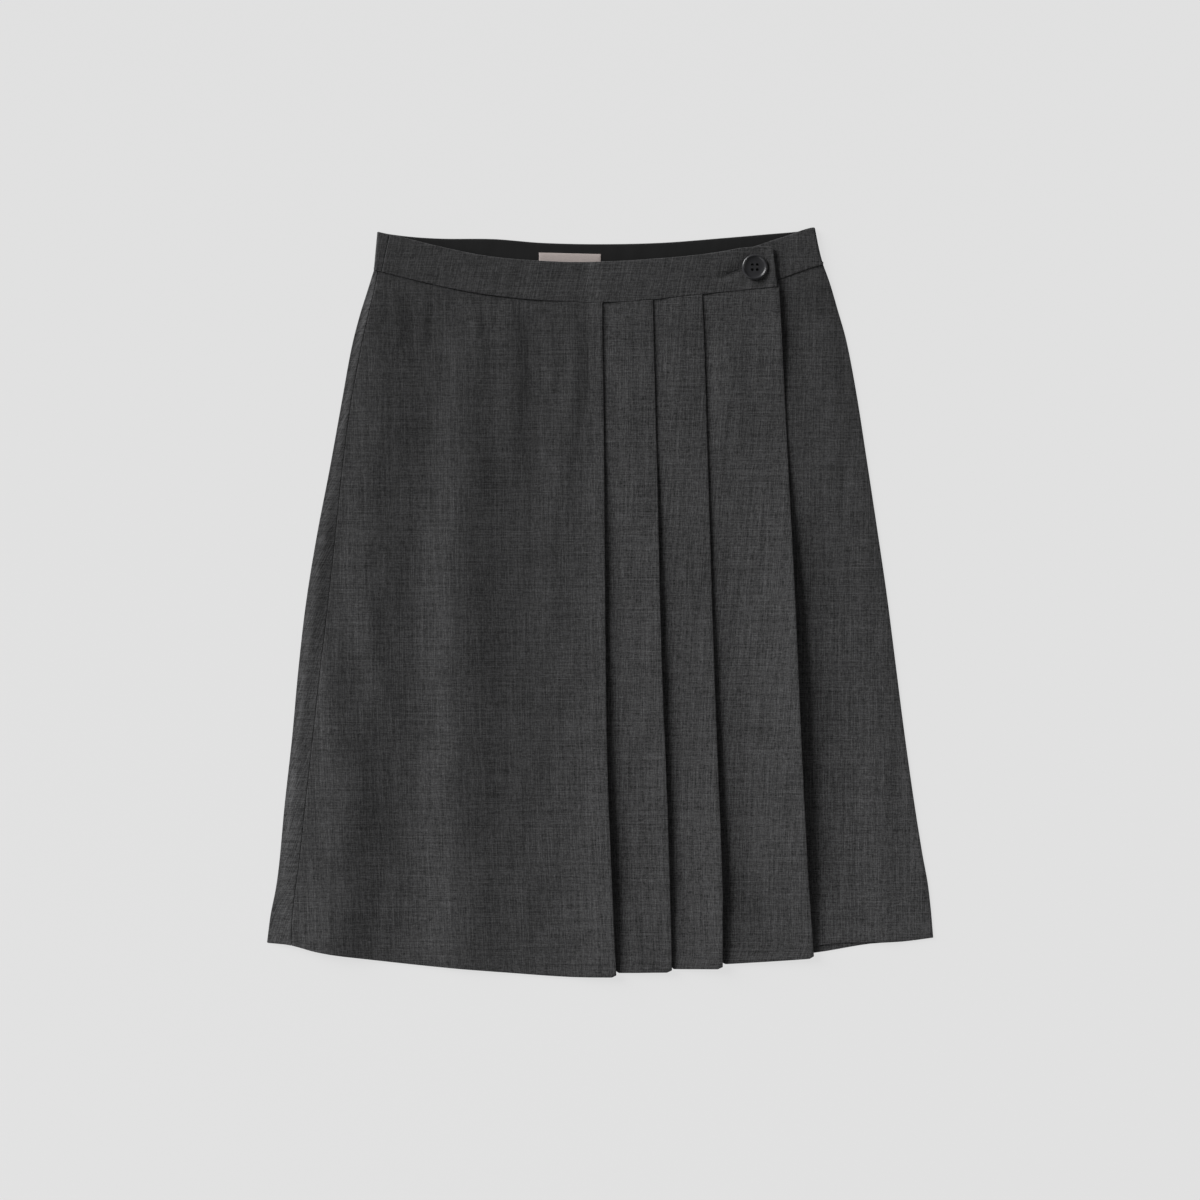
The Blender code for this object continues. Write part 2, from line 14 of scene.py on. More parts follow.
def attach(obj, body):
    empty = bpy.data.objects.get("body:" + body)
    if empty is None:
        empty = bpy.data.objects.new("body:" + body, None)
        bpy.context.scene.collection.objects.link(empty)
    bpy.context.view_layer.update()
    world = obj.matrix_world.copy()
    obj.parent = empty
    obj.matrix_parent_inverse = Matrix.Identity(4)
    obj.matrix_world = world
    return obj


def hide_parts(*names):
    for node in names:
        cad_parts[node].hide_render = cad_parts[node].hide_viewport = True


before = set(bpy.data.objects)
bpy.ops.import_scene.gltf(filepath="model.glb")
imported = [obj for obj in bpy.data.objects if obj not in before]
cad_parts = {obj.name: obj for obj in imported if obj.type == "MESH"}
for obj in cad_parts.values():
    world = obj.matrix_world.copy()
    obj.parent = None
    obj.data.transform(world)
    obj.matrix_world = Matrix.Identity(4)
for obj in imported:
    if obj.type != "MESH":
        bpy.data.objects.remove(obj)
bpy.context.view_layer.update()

MM = 0.001

# Cloth thickness and the air between two layers
CLOTH = 0.5
AIR = 0.05
LAYER = CLOTH + AIR

# Heights of the middle of each panel's cloth above the floor
BACK_LEVEL = CLOTH / 2
FRONT_LEVEL = BACK_LEVEL + LAYER

# The bands are two layers of wool with stiffening between them
BAND_CLOTH = 1.2
FACING_CLOTH = 0.5
LABEL_CLOTH = 0.3
BACK_BAND_LEVEL = BAND_CLOTH / 2
FACING_LEVEL = 1.5
LABEL_LEVEL = 1.95
LOW_BAND_LEVEL = 3.4
HIGH_BAND_LEVEL = 5.3
SEAM_GAP = 0.3
BAND_SIDE_GAP = 0.1

# Points of the shells: how far apart they are along what length, or how many a run takes,
# and the rows that round an edge
ROW_STEP = 3.6
COLUMN_STEP = 2.7
PANEL_LENGTH = 573.0
PLAIN_FRONT_WIDTH = 240.0
UNDER_WIDTH = 280.0
UNDER_COLUMN_STEP = 3.4
BACK_WIDTH = 540.0
BACK_COLUMN_STEP = 9.0
OVER_BAND_LENGTH = 330.0
OVER_BAND_STEP = 1.6
FACING_LENGTH = 370.0
FACING_STEP = 4.0
LABEL_STEP = 2.0
BACK_ROWS = 120
UNDER_ROWS = 150
BAND_ROWS = 16
OVER_BAND_ROWS = 36
LABEL_ROWS = 10
LEFT_STRIP_POINTS = 12
RIGHT_STRIP_POINTS = 6
UNDER_BAND_POINTS = (78, 5)
BACK_BAND_POINTS = (6, 92)
OPEN_POINTS = {"pleat_2": 9, "pleat_3": 9, "wrap_edge": 15}
ZONE_POINTS = {"pleat_1": 9, "pleat_2": 8, "pleat_3": 8, "wrap_edge": 13}
FOLD_SIDES = 7
EDGE_ROW_SHARE = 0.0007
RIM_STEPS = (0.12, 0.45, 1.0)
RIM_EDGE = 0.1
RIM_LIMIT = 0.8

# Lines that run down the skirt: x at each share of the way from waist seam to hem
LINE_NAMES = (
    "left_fold", "left_seam", "hidden_edge", "pleat_1", "pleat_2", "pleat_3", "wrap_edge", "right_fold",
)
LINES = (
    # share, left_fold, left_seam, hidden_edge, pleat_1, pleat_2, pleat_3, wrap_edge, right_fold
    (0.00, -192.5, -188.8, 3.5, 2, 44.8, 86.6, 151.8, 189.6),
    (0.03, -197.6, -191.9, 2.8, 2, 45.2, 87.4, 152.9, 195.3),
    (0.07, -204.5, -197.2, 2, 2.2, 45.8, 88.4, 154.1, 201.6),
    (0.12, -211.5, -203.4, 1.2, 2.7, 46.5, 89.3, 155.5, 209.2),
    (0.20, -219.7, -211.7, 0, 3.2, 47.6, 90.6, 157.8, 217.7),
    (0.30, -229.9, -219.2, -1.2, 3.7, 49.1, 92.4, 160.6, 226.5),
    (0.40, -240.8, -225.3, -2, 4.1, 50.3, 94.1, 163.5, 235.1),
    (0.50, -250, -231.6, -2.6, 4.6, 51.7, 95.8, 166.2, 243.5),
    (0.60, -256.6, -238.2, -3, 5.3, 53.6, 97.8, 168.6, 250.9),
    (0.70, -261.9, -244.6, -3, 6.5, 56, 100, 171.1, 258.3),
    (0.80, -268.3, -250.8, -3, 8.6, 58.1, 102.3, 174, 266.5),
    (0.88, -272.6, -255.8, -3, 10.6, 59.4, 103.8, 176.5, 273.9),
    (0.92, -275.6, -259, -3, 11.6, 60, 104, 178.2, 278.2),
    (0.96, -280.2, -261.4, -3, 12.7, 60.5, 104, 179.9, 281),
    (1.00, -283.2, -262.3, -3, 13.7, 60.9, 104, 181.4, 283),
)

# Top and bottom edges of the panels and bands: x and y of a few places
BACK_TOP = (
    (-192.5, 315.3), (-171.9, 312.2), (-153, 310.3), (-131.1, 309.3), (-90.3, 309), (-49.5, 305.8),
    (0, 304.7), (52.5, 305.9), (103.5, 309.8), (144.3, 313.3), (170, 315.6), (176.5, 317.2),
    (180.7, 317.9), (182.6, 317.4), (184.2, 315.6),
)
BACK_SEAM = ((-194, 281.8), (-120, 275.5), (0, 270), (110, 276.5), (191, 287.3))
BACK_HEM = (
    (-284, -289), (-262, -291), (-150, -301), (0, -306), (120, -302.5),
    (181.7, -297.5), (227.6, -290), (258.2, -287.9), (284, -284.5),
)
OVER_BAND_TOP = (
    (-189, 315), (-165.9, 309.7), (-138.7, 303), (-104.7, 295.8), (-80.1, 292.5), (-51.2, 290.3),
    (-20, 289.2), (18.5, 290.1), (67.6, 293.6), (86.5, 295.6), (96.7, 297.1), (108.5, 299),
    (118, 300.8), (127.3, 301.7), (138, 302.2), (147, 302.1),
)
OVER_SEAM = (
    (-194, 282.5), (-170.2, 276.8), (-145.5, 270.8), (-123.7, 266.1), (-99.1, 261.7), (-55.4, 256.9),
    (2.2, 254.6), (44.9, 257), (86.5, 261.5), (152, 268),
)
UNDER_BAND_TOP = (
    (3.5, 287.5), (60, 291), (96.7, 296.3), (118, 299.9), (129, 302), (137.5, 304.8),
    (147.7, 308.2), (158, 311.4), (170, 315.8), (176.5, 317.8), (180.7, 318.6), (182.6, 318.1),
    (184.2, 316.2),
)
UNDER_SEAM = ((3.5, 255.6), (60, 260), (120, 267.5), (153.7, 275.2), (175.8, 282.9), (191, 287.3))
UNDER_HEM = (
    (-5, -304), (100, -298), (179.6, -291.8), (200.4, -289.4), (227.6, -288.5),
    (258.2, -287.2), (284, -284.5),
)

# The over wrap's hem falls in steps, one for each visible panel
OVER_HEMS = (
    (
        (-284, -288.5), (-262, -291.2), (-241.6, -296.4), (-211, -301.2), (-149.8, -308.3),
        (-88.6, -313.5), (-27.4, -317.8), (14, -318.2),
    ),
    ((-16, -314.6), (14, -314.6), (61, -314)),
    ((34, -311.3), (61, -311.3), (104, -311)),
    ((76, -308.6), (104, -307.2), (156, -304), (182, -302)),
)
HEM_CORNER_RADIUS = 5.0
HEM_CORNER_RISE = 2.2
HEM_CORNER_START = 0.96
HEM_CORNER_LENGTH = 0.04

# Knife pleats and the wrap's turned-under edge: how far each runs back under its fold
PLEAT_DEPTH_WAIST = 20.0
PLEAT_DEPTH_HEM = 27.0
FACING_WIDTH = 38.0
FIRST_CLIMB_WIDTH = 42.0
FIRST_CLIMB_END = 2.0
CLIMB_INSET = 2.0
LAST_CLIMB_WIDTH = 14.0

# How far each fold stands off the cloth below it: millimetres at each share
LIFT_NAMES = ("pleat_1", "pleat_2", "pleat_3", "wrap_edge")
LIFTS = (
    # share, pleat_1, pleat_2, pleat_3, wrap_edge
    (0.00, 0, 0, 0, 0.1),
    (0.04, 0, 0, 0, 0.8),
    (0.07, 0, 0.1, 0.1, 2.8),
    (0.12, 0.1, 0.2, 0.2, 1.6),
    (0.18, 0.4, 0.3, 0.3, 0.3),
    (0.24, 0.9, 0.5, 0.5, 0.7),
    (0.30, 1.5, 1.3, 0.8, 2.6),
    (0.36, 1.9, 2, 1, 4.6),
    (0.42, 2.2, 2.6, 1.3, 6.2),
    (0.48, 2.4, 3.1, 1.8, 7.3),
    (0.54, 2.7, 3.3, 2.2, 8.1),
    (0.60, 3, 3.3, 2.7, 8.5),
    (0.66, 3.5, 3.2, 3.2, 8.6),
    (0.72, 4.2, 3.2, 3.9, 8.5),
    (0.78, 4.9, 3.2, 4.5, 8.1),
    (0.84, 4.9, 2.9, 5.3, 7.1),
    (0.90, 4.6, 2.7, 5.6, 5.4),
    (0.95, 3.5, 2, 4.2, 3.8),
    (1.00, 2.3, 1.4, 3, 2.1),
)
LIFT_REACH = {"pleat_1": 44, "pleat_2": 32, "pleat_3": 32, "wrap_edge": 56}
LIFT_BEND = 1.5

# The under wrap's soft roll below the wrap's edge: (share, height), and how far it reaches to each side
UNDER_ROLLS = (
    (0, 0), (0.2, 0), (0.27, 0.3), (0.33, 0.75), (0.42, 0.8), (0.52, 0.6), (0.62, 0.4), (0.7, 0.2),
    (0.8, 0.1), (0.88, 0), (1, 0),
)
UNDER_ROLL_INSET = 2.0
UNDER_ROLL_LEFT = 22.0
UNDER_ROLL_RIGHT = 46.0

# The sewn waist seam holds the panels up to the bands, and they sink and fold only below it
WAIST_SINK_SHARE = 0.085
WAIST_RISE = 1.85
WAIST_BAND_SHARE = 0.72
UNDER_WAIST_RISE = 2.15
WAIST_HOLD_SHARE = 0.03
WAIST_FREEDOM = 0.2

# The under wrap's hidden edge lifts what lies over it, just to its left
EDGE_RAMP_START = 15.0
EDGE_RAMP_END = 2.0

# Side strips: the back shows in front at the left, the right front lies behind at the right
RIGHT_STRIP = 17.0
RIGHT_BAND_STRIP = 8.0

# Where the bands end or fold at the sides, and how far in from a fold its turn starts
BAND_FOLD_INSET = 0.3
BAND_ENDS = {
    # x at the band's top edge and at the waist seam
    "left_seam": (-178.8, -185.6),
    "wrap_end": (146.6, 150.3),
    "left_fold": (-189.4, -192.4),
    "right_fold": (182.3, 189.6),
}

# Soft folds of the front: the crest's (x, y) points from the top down, its spread to each side,
# its height, and how softly it starts and ends
MAIN_CREST = (
    (-116.6, 268), (-113, 198), (-113.5, 147), (-115, 96), (-120, 45), (-118, -6),
    (-119, -57), (-118, -108), (-121, -159), (-119, -210), (-115, -258), (-112, -340),
)
FOLDS = (
    # crest, left_width, right_width, height, fade
    (MAIN_CREST, 40, 44, 2.4, 60),
    (MAIN_CREST[1:8], 32, 38, 1.1, 70),
    (MAIN_CREST[3:], 50, 115, 2.6, 60),
    (MAIN_CREST[6:10], 28, 60, 1.2, 45),
    (((-184, 350), (-188, 282), (-196, 240), (-203, 211), (-211.7, 165), (-219, 108),
      (-225, 50)), 9, 42, 1.2, 64),
    (((-195, 285), (-180, 205), (-184, 147), (-190, 96), (-194, 45), (-196, -6),
      (-185, -57), (-177, -90), (-165, -130)), 34, 50, 2.3, 45),
    (((-206, 24), (-200, -6), (-192, -50), (-185, -95)), 17, 21, 1.5, 30),
    (((-227, -15), (-224, -57), (-221, -108), (-213, -159), (-214, -210),
      (-221, -258), (-226, -340)), 34, 40, 2.7, 45),
    (((-228, -20), (-232, -70), (-228, -140)), 9, 22, 1, 30),
    (((-252, -110), (-254, -200), (-256, -258), (-258, -340)), 27, 56, 1.8, 50),
    (((-214, -55), (-216, -130), (-218, -200), (-221, -258), (-224, -340)), 52, 70, 2.8, 70),
    (((-194, 195), (-199, 147), (-204, 100), (-209, 55)), 14, 26, 0.8, 40),
    (((-78, 266), (-73, 198), (-74, 147), (-72, 95)), 22, 16, 1.8, 30),
    (((-24, 232), (-21.5, 198), (-30, 147), (-36, 96), (-42, 45), (-42, -6),
      (-40, -60)), 20, 16, 0.8, 40),
    (((-24, 240), (-21.5, 198), (-27, 145)), 13, 14, 1, 32),
    (((-47, 275), (-43, 215), (-40, 160)), 10, 9, 0.8, 24),
    (((-175.5, 282), (-172, 240), (-171, 212)), 8, 8, 0.5, 16),
    (((-149.7, 274), (-153, 206)), 9, 9, 0.7, 16),
    (((-106, 266), (-104, 222)), 8, 6, 0.7, 12),
    (((-94, 264), (-93, 228)), 5, 5, 0.35, 12),
    (((112, 266), (110, 198), (116, 110)), 18, 22, 0.6, 40),
    (((188, 262), (192, 198), (203, 130)), 20, 18, 1, 40),
    (((232, -110), (240, -240), (243, -330)), 22, 20, 1.1, 40),
    (((170, 300), (205, 160), (228, 20), (247, -120), (262, -330)), 40, 17, 0.3, 30),
)
FOLD_UNEVEN = (
    # amount, length down the skirt, turn for each millimetre of the crest's x
    (0.16, 17.0, 1.0),
    (0.05, 7.3, 2.0),
)
FOLD_HOLD = 7.0
UNDER_SHOWN_INSET = 4.0
UNDER_SHOWN_WIDTH = 14.0
SEAM_DIP = 0.16
SEAM_DIP_WIDTH = 1.4
SEAM_COLUMNS = (0, 0.6, 1.4, 2.4)
SEAM_COLUMNS_END = 4.5
STRIP_COLUMNS_END = 3.0

# The left strip's soft roll: its height for each millimetre of the strip's width, and where across it peaks
STRIP_NAMES = ("height", "crest")
STRIP_ROLLS = (
    # share, height, crest
    (0, 0, 0.5), (0.1, 0, 0.55), (0.15, 0.02, 0.6), (0.21, 0.06, 0.6), (0.28, 0.055, 0.55),
    (0.4, 0.065, 0.45), (0.55, 0.06, 0.4),
    (0.7, 0.05, 0.42), (0.8, 0.02, 0.5), (0.86, 0, 0.5), (1, 0, 0.5),
)

# Seam allowance of a panel's waist edge, which turns in under the band: (up the skirt, down) steps
TUCK = ((3, -0.75), (0.5, -0.75), (0.15, -0.6), (0.03, -0.3), (-0.06, -0.1))

# Small unevenness of the lying cloth: wavelengths across and down, turn and height
WOBBLES = (
    # across, down, phase, height
    (61, 143, 0.4, 0.10),
    (37, -96, 1.9, 0.06),
    (-48, 71, 3.1, 0.05),
    (23, 118, 5.2, 0.035),
    (-29, -44, 0.9, 0.025),
)
WOBBLE_TOTAL = sum(w[3] for w in WOBBLES)
BAND_WOBBLE_SHARE = 0.5

# Facing and label inside the back waistband
FACING_INSET = 0.5
FACING_SIDE_INSET = 3.4
LABEL_LEFT = -52.0
LABEL_RIGHT = 0.5
LABEL_TOP = 297.4
LABEL_HEIGHT = 22.0
LABEL_TILT = -0.025
LABEL_RAMP = 14.0
UNDER_BAND_START = LABEL_RIGHT + 3.0

# Button, its thread and the buttonhole that it comes through
BUTTON_X = 131.0
BUTTON_Y = 284.5
BUTTON_SINK = 0.3
BUTTON_BASE = HIGH_BAND_LEVEL + BAND_CLOTH / 2 - BUTTON_SINK
BUTTON_SEGMENTS = 72
BUTTON_HOLE_RADIUS = 1.2
BUTTON_HOLE_SPREAD = 2.1
HOLE_SIDES = (-BUTTON_HOLE_SPREAD, BUTTON_HOLE_SPREAD)
BUTTON_PROFILE = (
    # radius, height
    (0, 1.75), (5, 1.75), (6.4, 1.82), (7.6, 2), (8.4, 2.18), (8.7, 2.35), (8.95, 2.62), (9.15, 2.88),
    (9.35, 3.05), (9.55, 3.12), (9.8, 3.1), (10.1, 2.98), (10.4, 2.76), (10.65, 2.45), (10.85, 2.1),
    (10.97, 1.7), (10.9, 1.3), (10.6, 0.8), (10, 0.4), (8.8, 0.12), (6, 0), (0, 0),
)
BUTTON_SHARP_ANGLE = 35.0
BUTTON_MARKS = 0.00045
THREAD_RADIUS = 0.15
THREAD_SINK = 0.8
THREAD_RISE = 0.85
HOLE_THREAD_HEIGHTS = (-0.2, 0.4)
HOLE_THREAD_GAP = 0.05
SHANK_RADIUS = 0.9
SHANK_DROP = 0.95
SHANK_PITCH = 0.1
SHANK_TURNS = 10
BUTTONHOLE_LEFT = 107.4
BUTTONHOLE_RIGHT = 121.5
BUTTONHOLE_MIDDLE = (113.8, 281.4)
BUTTONHOLE_SLOPE = 0.34
BUTTONHOLE_HALF_WIDTH = 1.5
STITCH_PITCH = 0.75
STITCH_RADIUS = 0.2
STITCH_RISE = 0.1
STITCH_INSET = 0.55
# The buttonhole's slit is a black tube sunk in the band: painted shade standing in for the dark inside of
# the opening.
SLIT_RADIUS = 0.5
SLIT_SINK = 0.75

# The wrap's band is drawn down under the button and along the buttonhole, and so, less, is the band below.
# Its free end curls up a little and its upper corner is rounded.
DIMPLES = (
    # x, y, turn, length, width, depth
    (126.0, 285.5, 20.0, 12.0, 9.0, 1.35),
    (111.5, 279.4, 20.0, 9.5, 3.3, 1.25),
)
DIMPLE_BELOW_SHARE = 0.6
BAND_CURL = 0.9
BAND_CURL_LENGTH = 8.0
BAND_CORNER_RADIUS = 4.0
BAND_CORNER_DROP = 1.2

# Camera and light
FRAME_WIDTH = 1020.0
VIEW_CENTRE = (-0.2, 2.3)
CAMERA_HEIGHT = 2600.0
SENSOR = 36.0
KEY_TURN = 145.0
KEY_HEIGHT = 19.5
KEY_SIZE = 36.0
KEY_STRENGTH = 6.0
SIDE_PLACE = (-1.3, -1.3, 0.8)
SIDE_SIZE = 1.6
SIDE_WATTS = 12.0
FILL_PLACE = (1.7, 0.1, 0.42)
FILL_SIZE = 1.2
FILL_WATTS = 5.0
SKY_STRENGTH = 0.14
FLOOR_SIZE = 60.0
FLOOR_DROP = 0.0002
CLIP_END = 100.0

# Colours, as linear values
WOOL = (0.0332, 0.0330, 0.0338)
# Painted light and shade on the wool, as multipliers on its colour: for each copy of the wool, (waist, hem)
# right of the first pleat's fold, then (waist, hem) left of it. They stand in for how the light falls:
# mostly darker at the waist and lighter towards the hem, and darker on the plain front left of the pleats
# and on the bands.
WRAP_PAINTED_SHADING = ((1.01, 0.99), (0.77, 0.94))
UNDER_PAINTED_SHADING = ((0.825, 1.16), (0.825, 1.16))
BACK_PAINTED_SHADING = ((0.86, 1.12), (0.86, 1.12))
BAND_PAINTED_SHADING = ((0.86, 0.86), (0.79, 0.79))
# Where the painted shading runs from its waist value to its hem value, and where it changes from its left
# value to its right one.
PAINTED_SHADING_WAIST_Y = 270.0
PAINTED_SHADING_HEM_Y = -300.0
PAINTED_SHADING_LEFT_X = -18.0
PAINTED_SHADING_RIGHT_X = 4.0
FACING_BLACK = (0.0050, 0.0050, 0.0051)
LABEL_BEIGE = (0.370, 0.322, 0.304)
BUTTON_GREY = (0.020, 0.020, 0.022)
# Grey of the buttonhole's stitches, darker than the band: partly the thread's own colour, partly painted
# shade of the dimple around the buttonhole.
STITCH_GREY_WITH_PAINTED_SHADE = (0.019, 0.019, 0.0205)
# Black of the button's thread, and of the buttonhole's slit, where it is painted shade.
BLACK_THREAD_AND_SLIT_SHADE = (0.003, 0.003, 0.003)
FLOOR_GREY = 0.08
FLOOR_GLOW = 0.68


def mix(start, end, share):
    """The value a share of the way from start to end."""
    return start + (end - start) * share


def smooth_step(value):
    """0 below 0, 1 above 1, with an easy rise between."""
    value = np.clip(value, 0.0, 1.0)
    return value * value * (3.0 - 2.0 * value)


def hump(away):
    """1 at the middle of a soft hump, 0 from 1 away."""
    return 0.5 * (1.0 + np.cos(np.pi * np.clip(away, 0.0, 1.0)))


def curve_at(points, x):
    """Heights at x of a smooth curve through (x, y) points, straight past its ends."""
    xs, ys = np.array(points, float).T
    slopes = np.empty_like(xs)
    slopes[1:-1] = (ys[2:] - ys[:-2]) / (xs[2:] - xs[:-2])
    slopes[0] = (ys[1] - ys[0]) / (xs[1] - xs[0])
    slopes[-1] = (ys[-1] - ys[-2]) / (xs[-1] - xs[-2])
    x = np.asarray(x, float)
    i = np.clip(np.searchsorted(xs, x) - 1, 0, len(xs) - 2)
    span = xs[i + 1] - xs[i]
    t = (x - xs[i]) / span
    inside = (
        (2 * t ** 3 - 3 * t ** 2 + 1) * ys[i]
        + (t ** 3 - 2 * t ** 2 + t) * slopes[i] * span
        + (3 * t ** 2 - 2 * t ** 3) * ys[i + 1]
        + (t ** 3 - t ** 2) * slopes[i + 1] * span
    )
    before = ys[0] + slopes[0] * (x - xs[0])
    after = ys[-1] + slopes[-1] * (x - xs[-1])
    return np.where(t < 0, before, np.where(t > 1, after, inside))


def column(table, names, name):
    """The (share, value) pairs of one named column of a table."""
    place = 1 + names.index(name)
    return [(row[0], row[place]) for row in table]


def line(name, share):
    """x of a named line at a share of the way down."""
    return float(curve_at(column(LINES, LINE_NAMES, name), share))


def lift(name, share):
    """How far a named fold stands off at a share of the way down."""
    return max(float(curve_at(column(LIFTS, LIFT_NAMES, name), share)), 0.0)


def spread(start, end, count):
    """Evenly spaced values from start to end, both included."""
    return np.linspace(start, end, count)


def shares_down(count):
    """Shares of the way down a panel, with one more row close to its sewn edge."""
    return np.insert(spread(0.0, 1.0, count), 1, EDGE_ROW_SHARE)


def steps(length, step):
    """How many points, about a step apart, a length takes."""
    return max(int(round(abs(length) / step)) + 1, 3)


def turn(x, z_from, z_to, side):
    """A half turn of cloth whose middle starts at (x, z_from), bulges to one side and ends at (x, z_to)."""
    angles = np.pi * np.arange(1, FOLD_SIDES) / FOLD_SIDES
    radius = (z_from - z_to) / 2
    xs = x + side * abs(radius) * np.sin(angles)
    zs = (z_from + z_to) / 2 + radius * np.cos(angles)
    return xs, zs


def sink(share):
    """1 at the sewn waist seam, 0 once the cloth has come down to what it lies on."""
    return float(1.0 - smooth_step(share / WAIST_SINK_SHARE))


def wobble(x, y):
    """Small unevenness at a place, never below zero."""
    total = np.full_like(np.asarray(x, float), WOBBLE_TOTAL)
    for across, down, phase, height in WOBBLES:
        total = total + height * np.sin(2 * np.pi * (x / across + y / down) + phase)
    return total


def soft_folds(x, y):
    """Height that the soft folds add at a place."""
    height = np.zeros_like(np.asarray(x, float))
    for crest, left_width, right_width, tall, fade in FOLDS:
        points = [(py, px) for px, py in reversed(crest)]
        centre = curve_at(points, y)
        across = np.where(x < centre, (centre - x) / left_width, (x - centre) / right_width)
        ends = smooth_step((crest[0][1] - y) / fade) * smooth_step((y - crest[-1][1]) / fade)
        uneven = 1.0
        for amount, length, turned in FOLD_UNEVEN:
            uneven = uneven + amount * np.sin(y / length + turned * crest[0][0])
        height = height + tall * hump(across) * ends * uneven
    return height


def side_hold(x, share):
    """0 at the side folds, 1 a little inside them."""
    left = smooth_step((x - line("left_fold", share)) / FOLD_HOLD)
    return left * smooth_step((line("right_fold", share) - x) / FOLD_HOLD)


def waist_hold(share):
    """How far the cloth is free to fold: a little at the sewn waist seam, wholly below it."""
    return mix(WAIST_FREEDOM, 1.0, float(smooth_step(share / WAIST_HOLD_SHARE)))


def under_roll(x, share):
    """Height of the under wrap's soft roll, whose crest lies just inside the wrap's edge."""
    away = x - line("wrap_edge", share) + UNDER_ROLL_INSET
    reach = np.where(away < 0.0, UNDER_ROLL_LEFT, UNDER_ROLL_RIGHT)
    return max(float(curve_at(UNDER_ROLLS, share)), 0.0) * hump(np.abs(away) / reach)


def seam_dip(x, share):
    """How far the cloth dips beside the left side seam."""
    near = np.clip(1.0 - np.abs(x - line("left_seam", share)) / SEAM_DIP_WIDTH, 0.0, 1.0)
    return SEAM_DIP * near ** 2


def strip_roll(x, share):
    """Height of the left strip's soft roll, which falls to the side seam."""
    fold_x = line("left_fold", share)
    width = line("left_seam", share) - fold_x
    place = np.clip((x - fold_x) / width, 0.0, 1.0)
    crest = float(curve_at(column(STRIP_ROLLS, STRIP_NAMES, "crest"), share))
    height = width * max(float(curve_at(column(STRIP_ROLLS, STRIP_NAMES, "height"), share)), 0.0)
    return height * smooth_step(place / crest) * smooth_step((1.0 - place) / (1.0 - crest))


def over_base(x, share):
    """Height of over wrap cloth that lies straight on the back, or on the under wrap."""
    edge = line("hidden_edge", share)
    start = edge - EDGE_RAMP_START
    end = edge - EDGE_RAMP_END
    rise = WAIST_RISE + WAIST_BAND_SHARE * (over_band_level(x) - LOW_BAND_LEVEL)
    return FRONT_LEVEL + LAYER * smooth_step((x - start) / (end - start)) + rise * sink(share)


def fold_lift(x, name, share):
    """A fold's lift at x, which grows towards the fold."""
    reach = LIFT_REACH[name]
    near = np.clip((x - line(name, share) + reach) / reach, 0.0, 1.0)
    return lift(name, share) * near ** LIFT_BEND


def pleat_depth(share):
    """How far a pleat runs back under its fold."""
    return mix(PLEAT_DEPTH_WAIST, PLEAT_DEPTH_HEM, share)


def over_hem(x, panel):
    """Hem of the over wrap at x, between the steps of two neighbouring panels."""
    first = np.minimum(panel.astype(int), len(OVER_HEMS) - 2)
    low = np.zeros_like(x)
    high = np.zeros_like(x)
    for i in range(len(OVER_HEMS) - 1):
        here = first == i
        low[here] = curve_at(OVER_HEMS[i], x[here])
        high[here] = curve_at(OVER_HEMS[i + 1], x[here])
    return mix(low, high, panel - first)


def corner_rise(x, share):
    """How much each pleat's hem is rounded up at its folded corner."""
    rise = np.zeros_like(x)
    for name in LIFT_NAMES:
        past = np.clip((x - line(name, 1.0) + HEM_CORNER_RADIUS) / HEM_CORNER_RADIUS, 0.0, 1.0)
        here = x <= line(name, 1.0) + CLOTH
        rise = rise + np.where(here, HEM_CORNER_RISE * past ** 2.5, 0.0)
    return rise * smooth_step((share - HEM_CORNER_START) / HEM_CORNER_LENGTH)


def panel_y(seam, hem, x, share):
    """y on a panel, a share of the way from its waist seam to its hem."""
    return mix(curve_at(seam, x) - SEAM_GAP / 2, curve_at(hem, x), share)


def band_y(top, seam, x, share):
    """y on a band, a share of the way from its top edge to its waist seam."""
    return mix(curve_at(top, x), curve_at(seam, x) + SEAM_GAP / 2, share)


def band_end(name, share):
    """x of a named end or fold of a band, a share of the way from its top edge to its waist seam."""
    return mix(*BAND_ENDS[name], share)


def joined(runs, anchor=0):
    """One row of points from runs of (x, y, z), and the column where its cloth coordinates start."""
    return np.concatenate([np.stack([x, y, np.broadcast_to(z, x.shape)], 1) for x, y, z in runs]), anchor


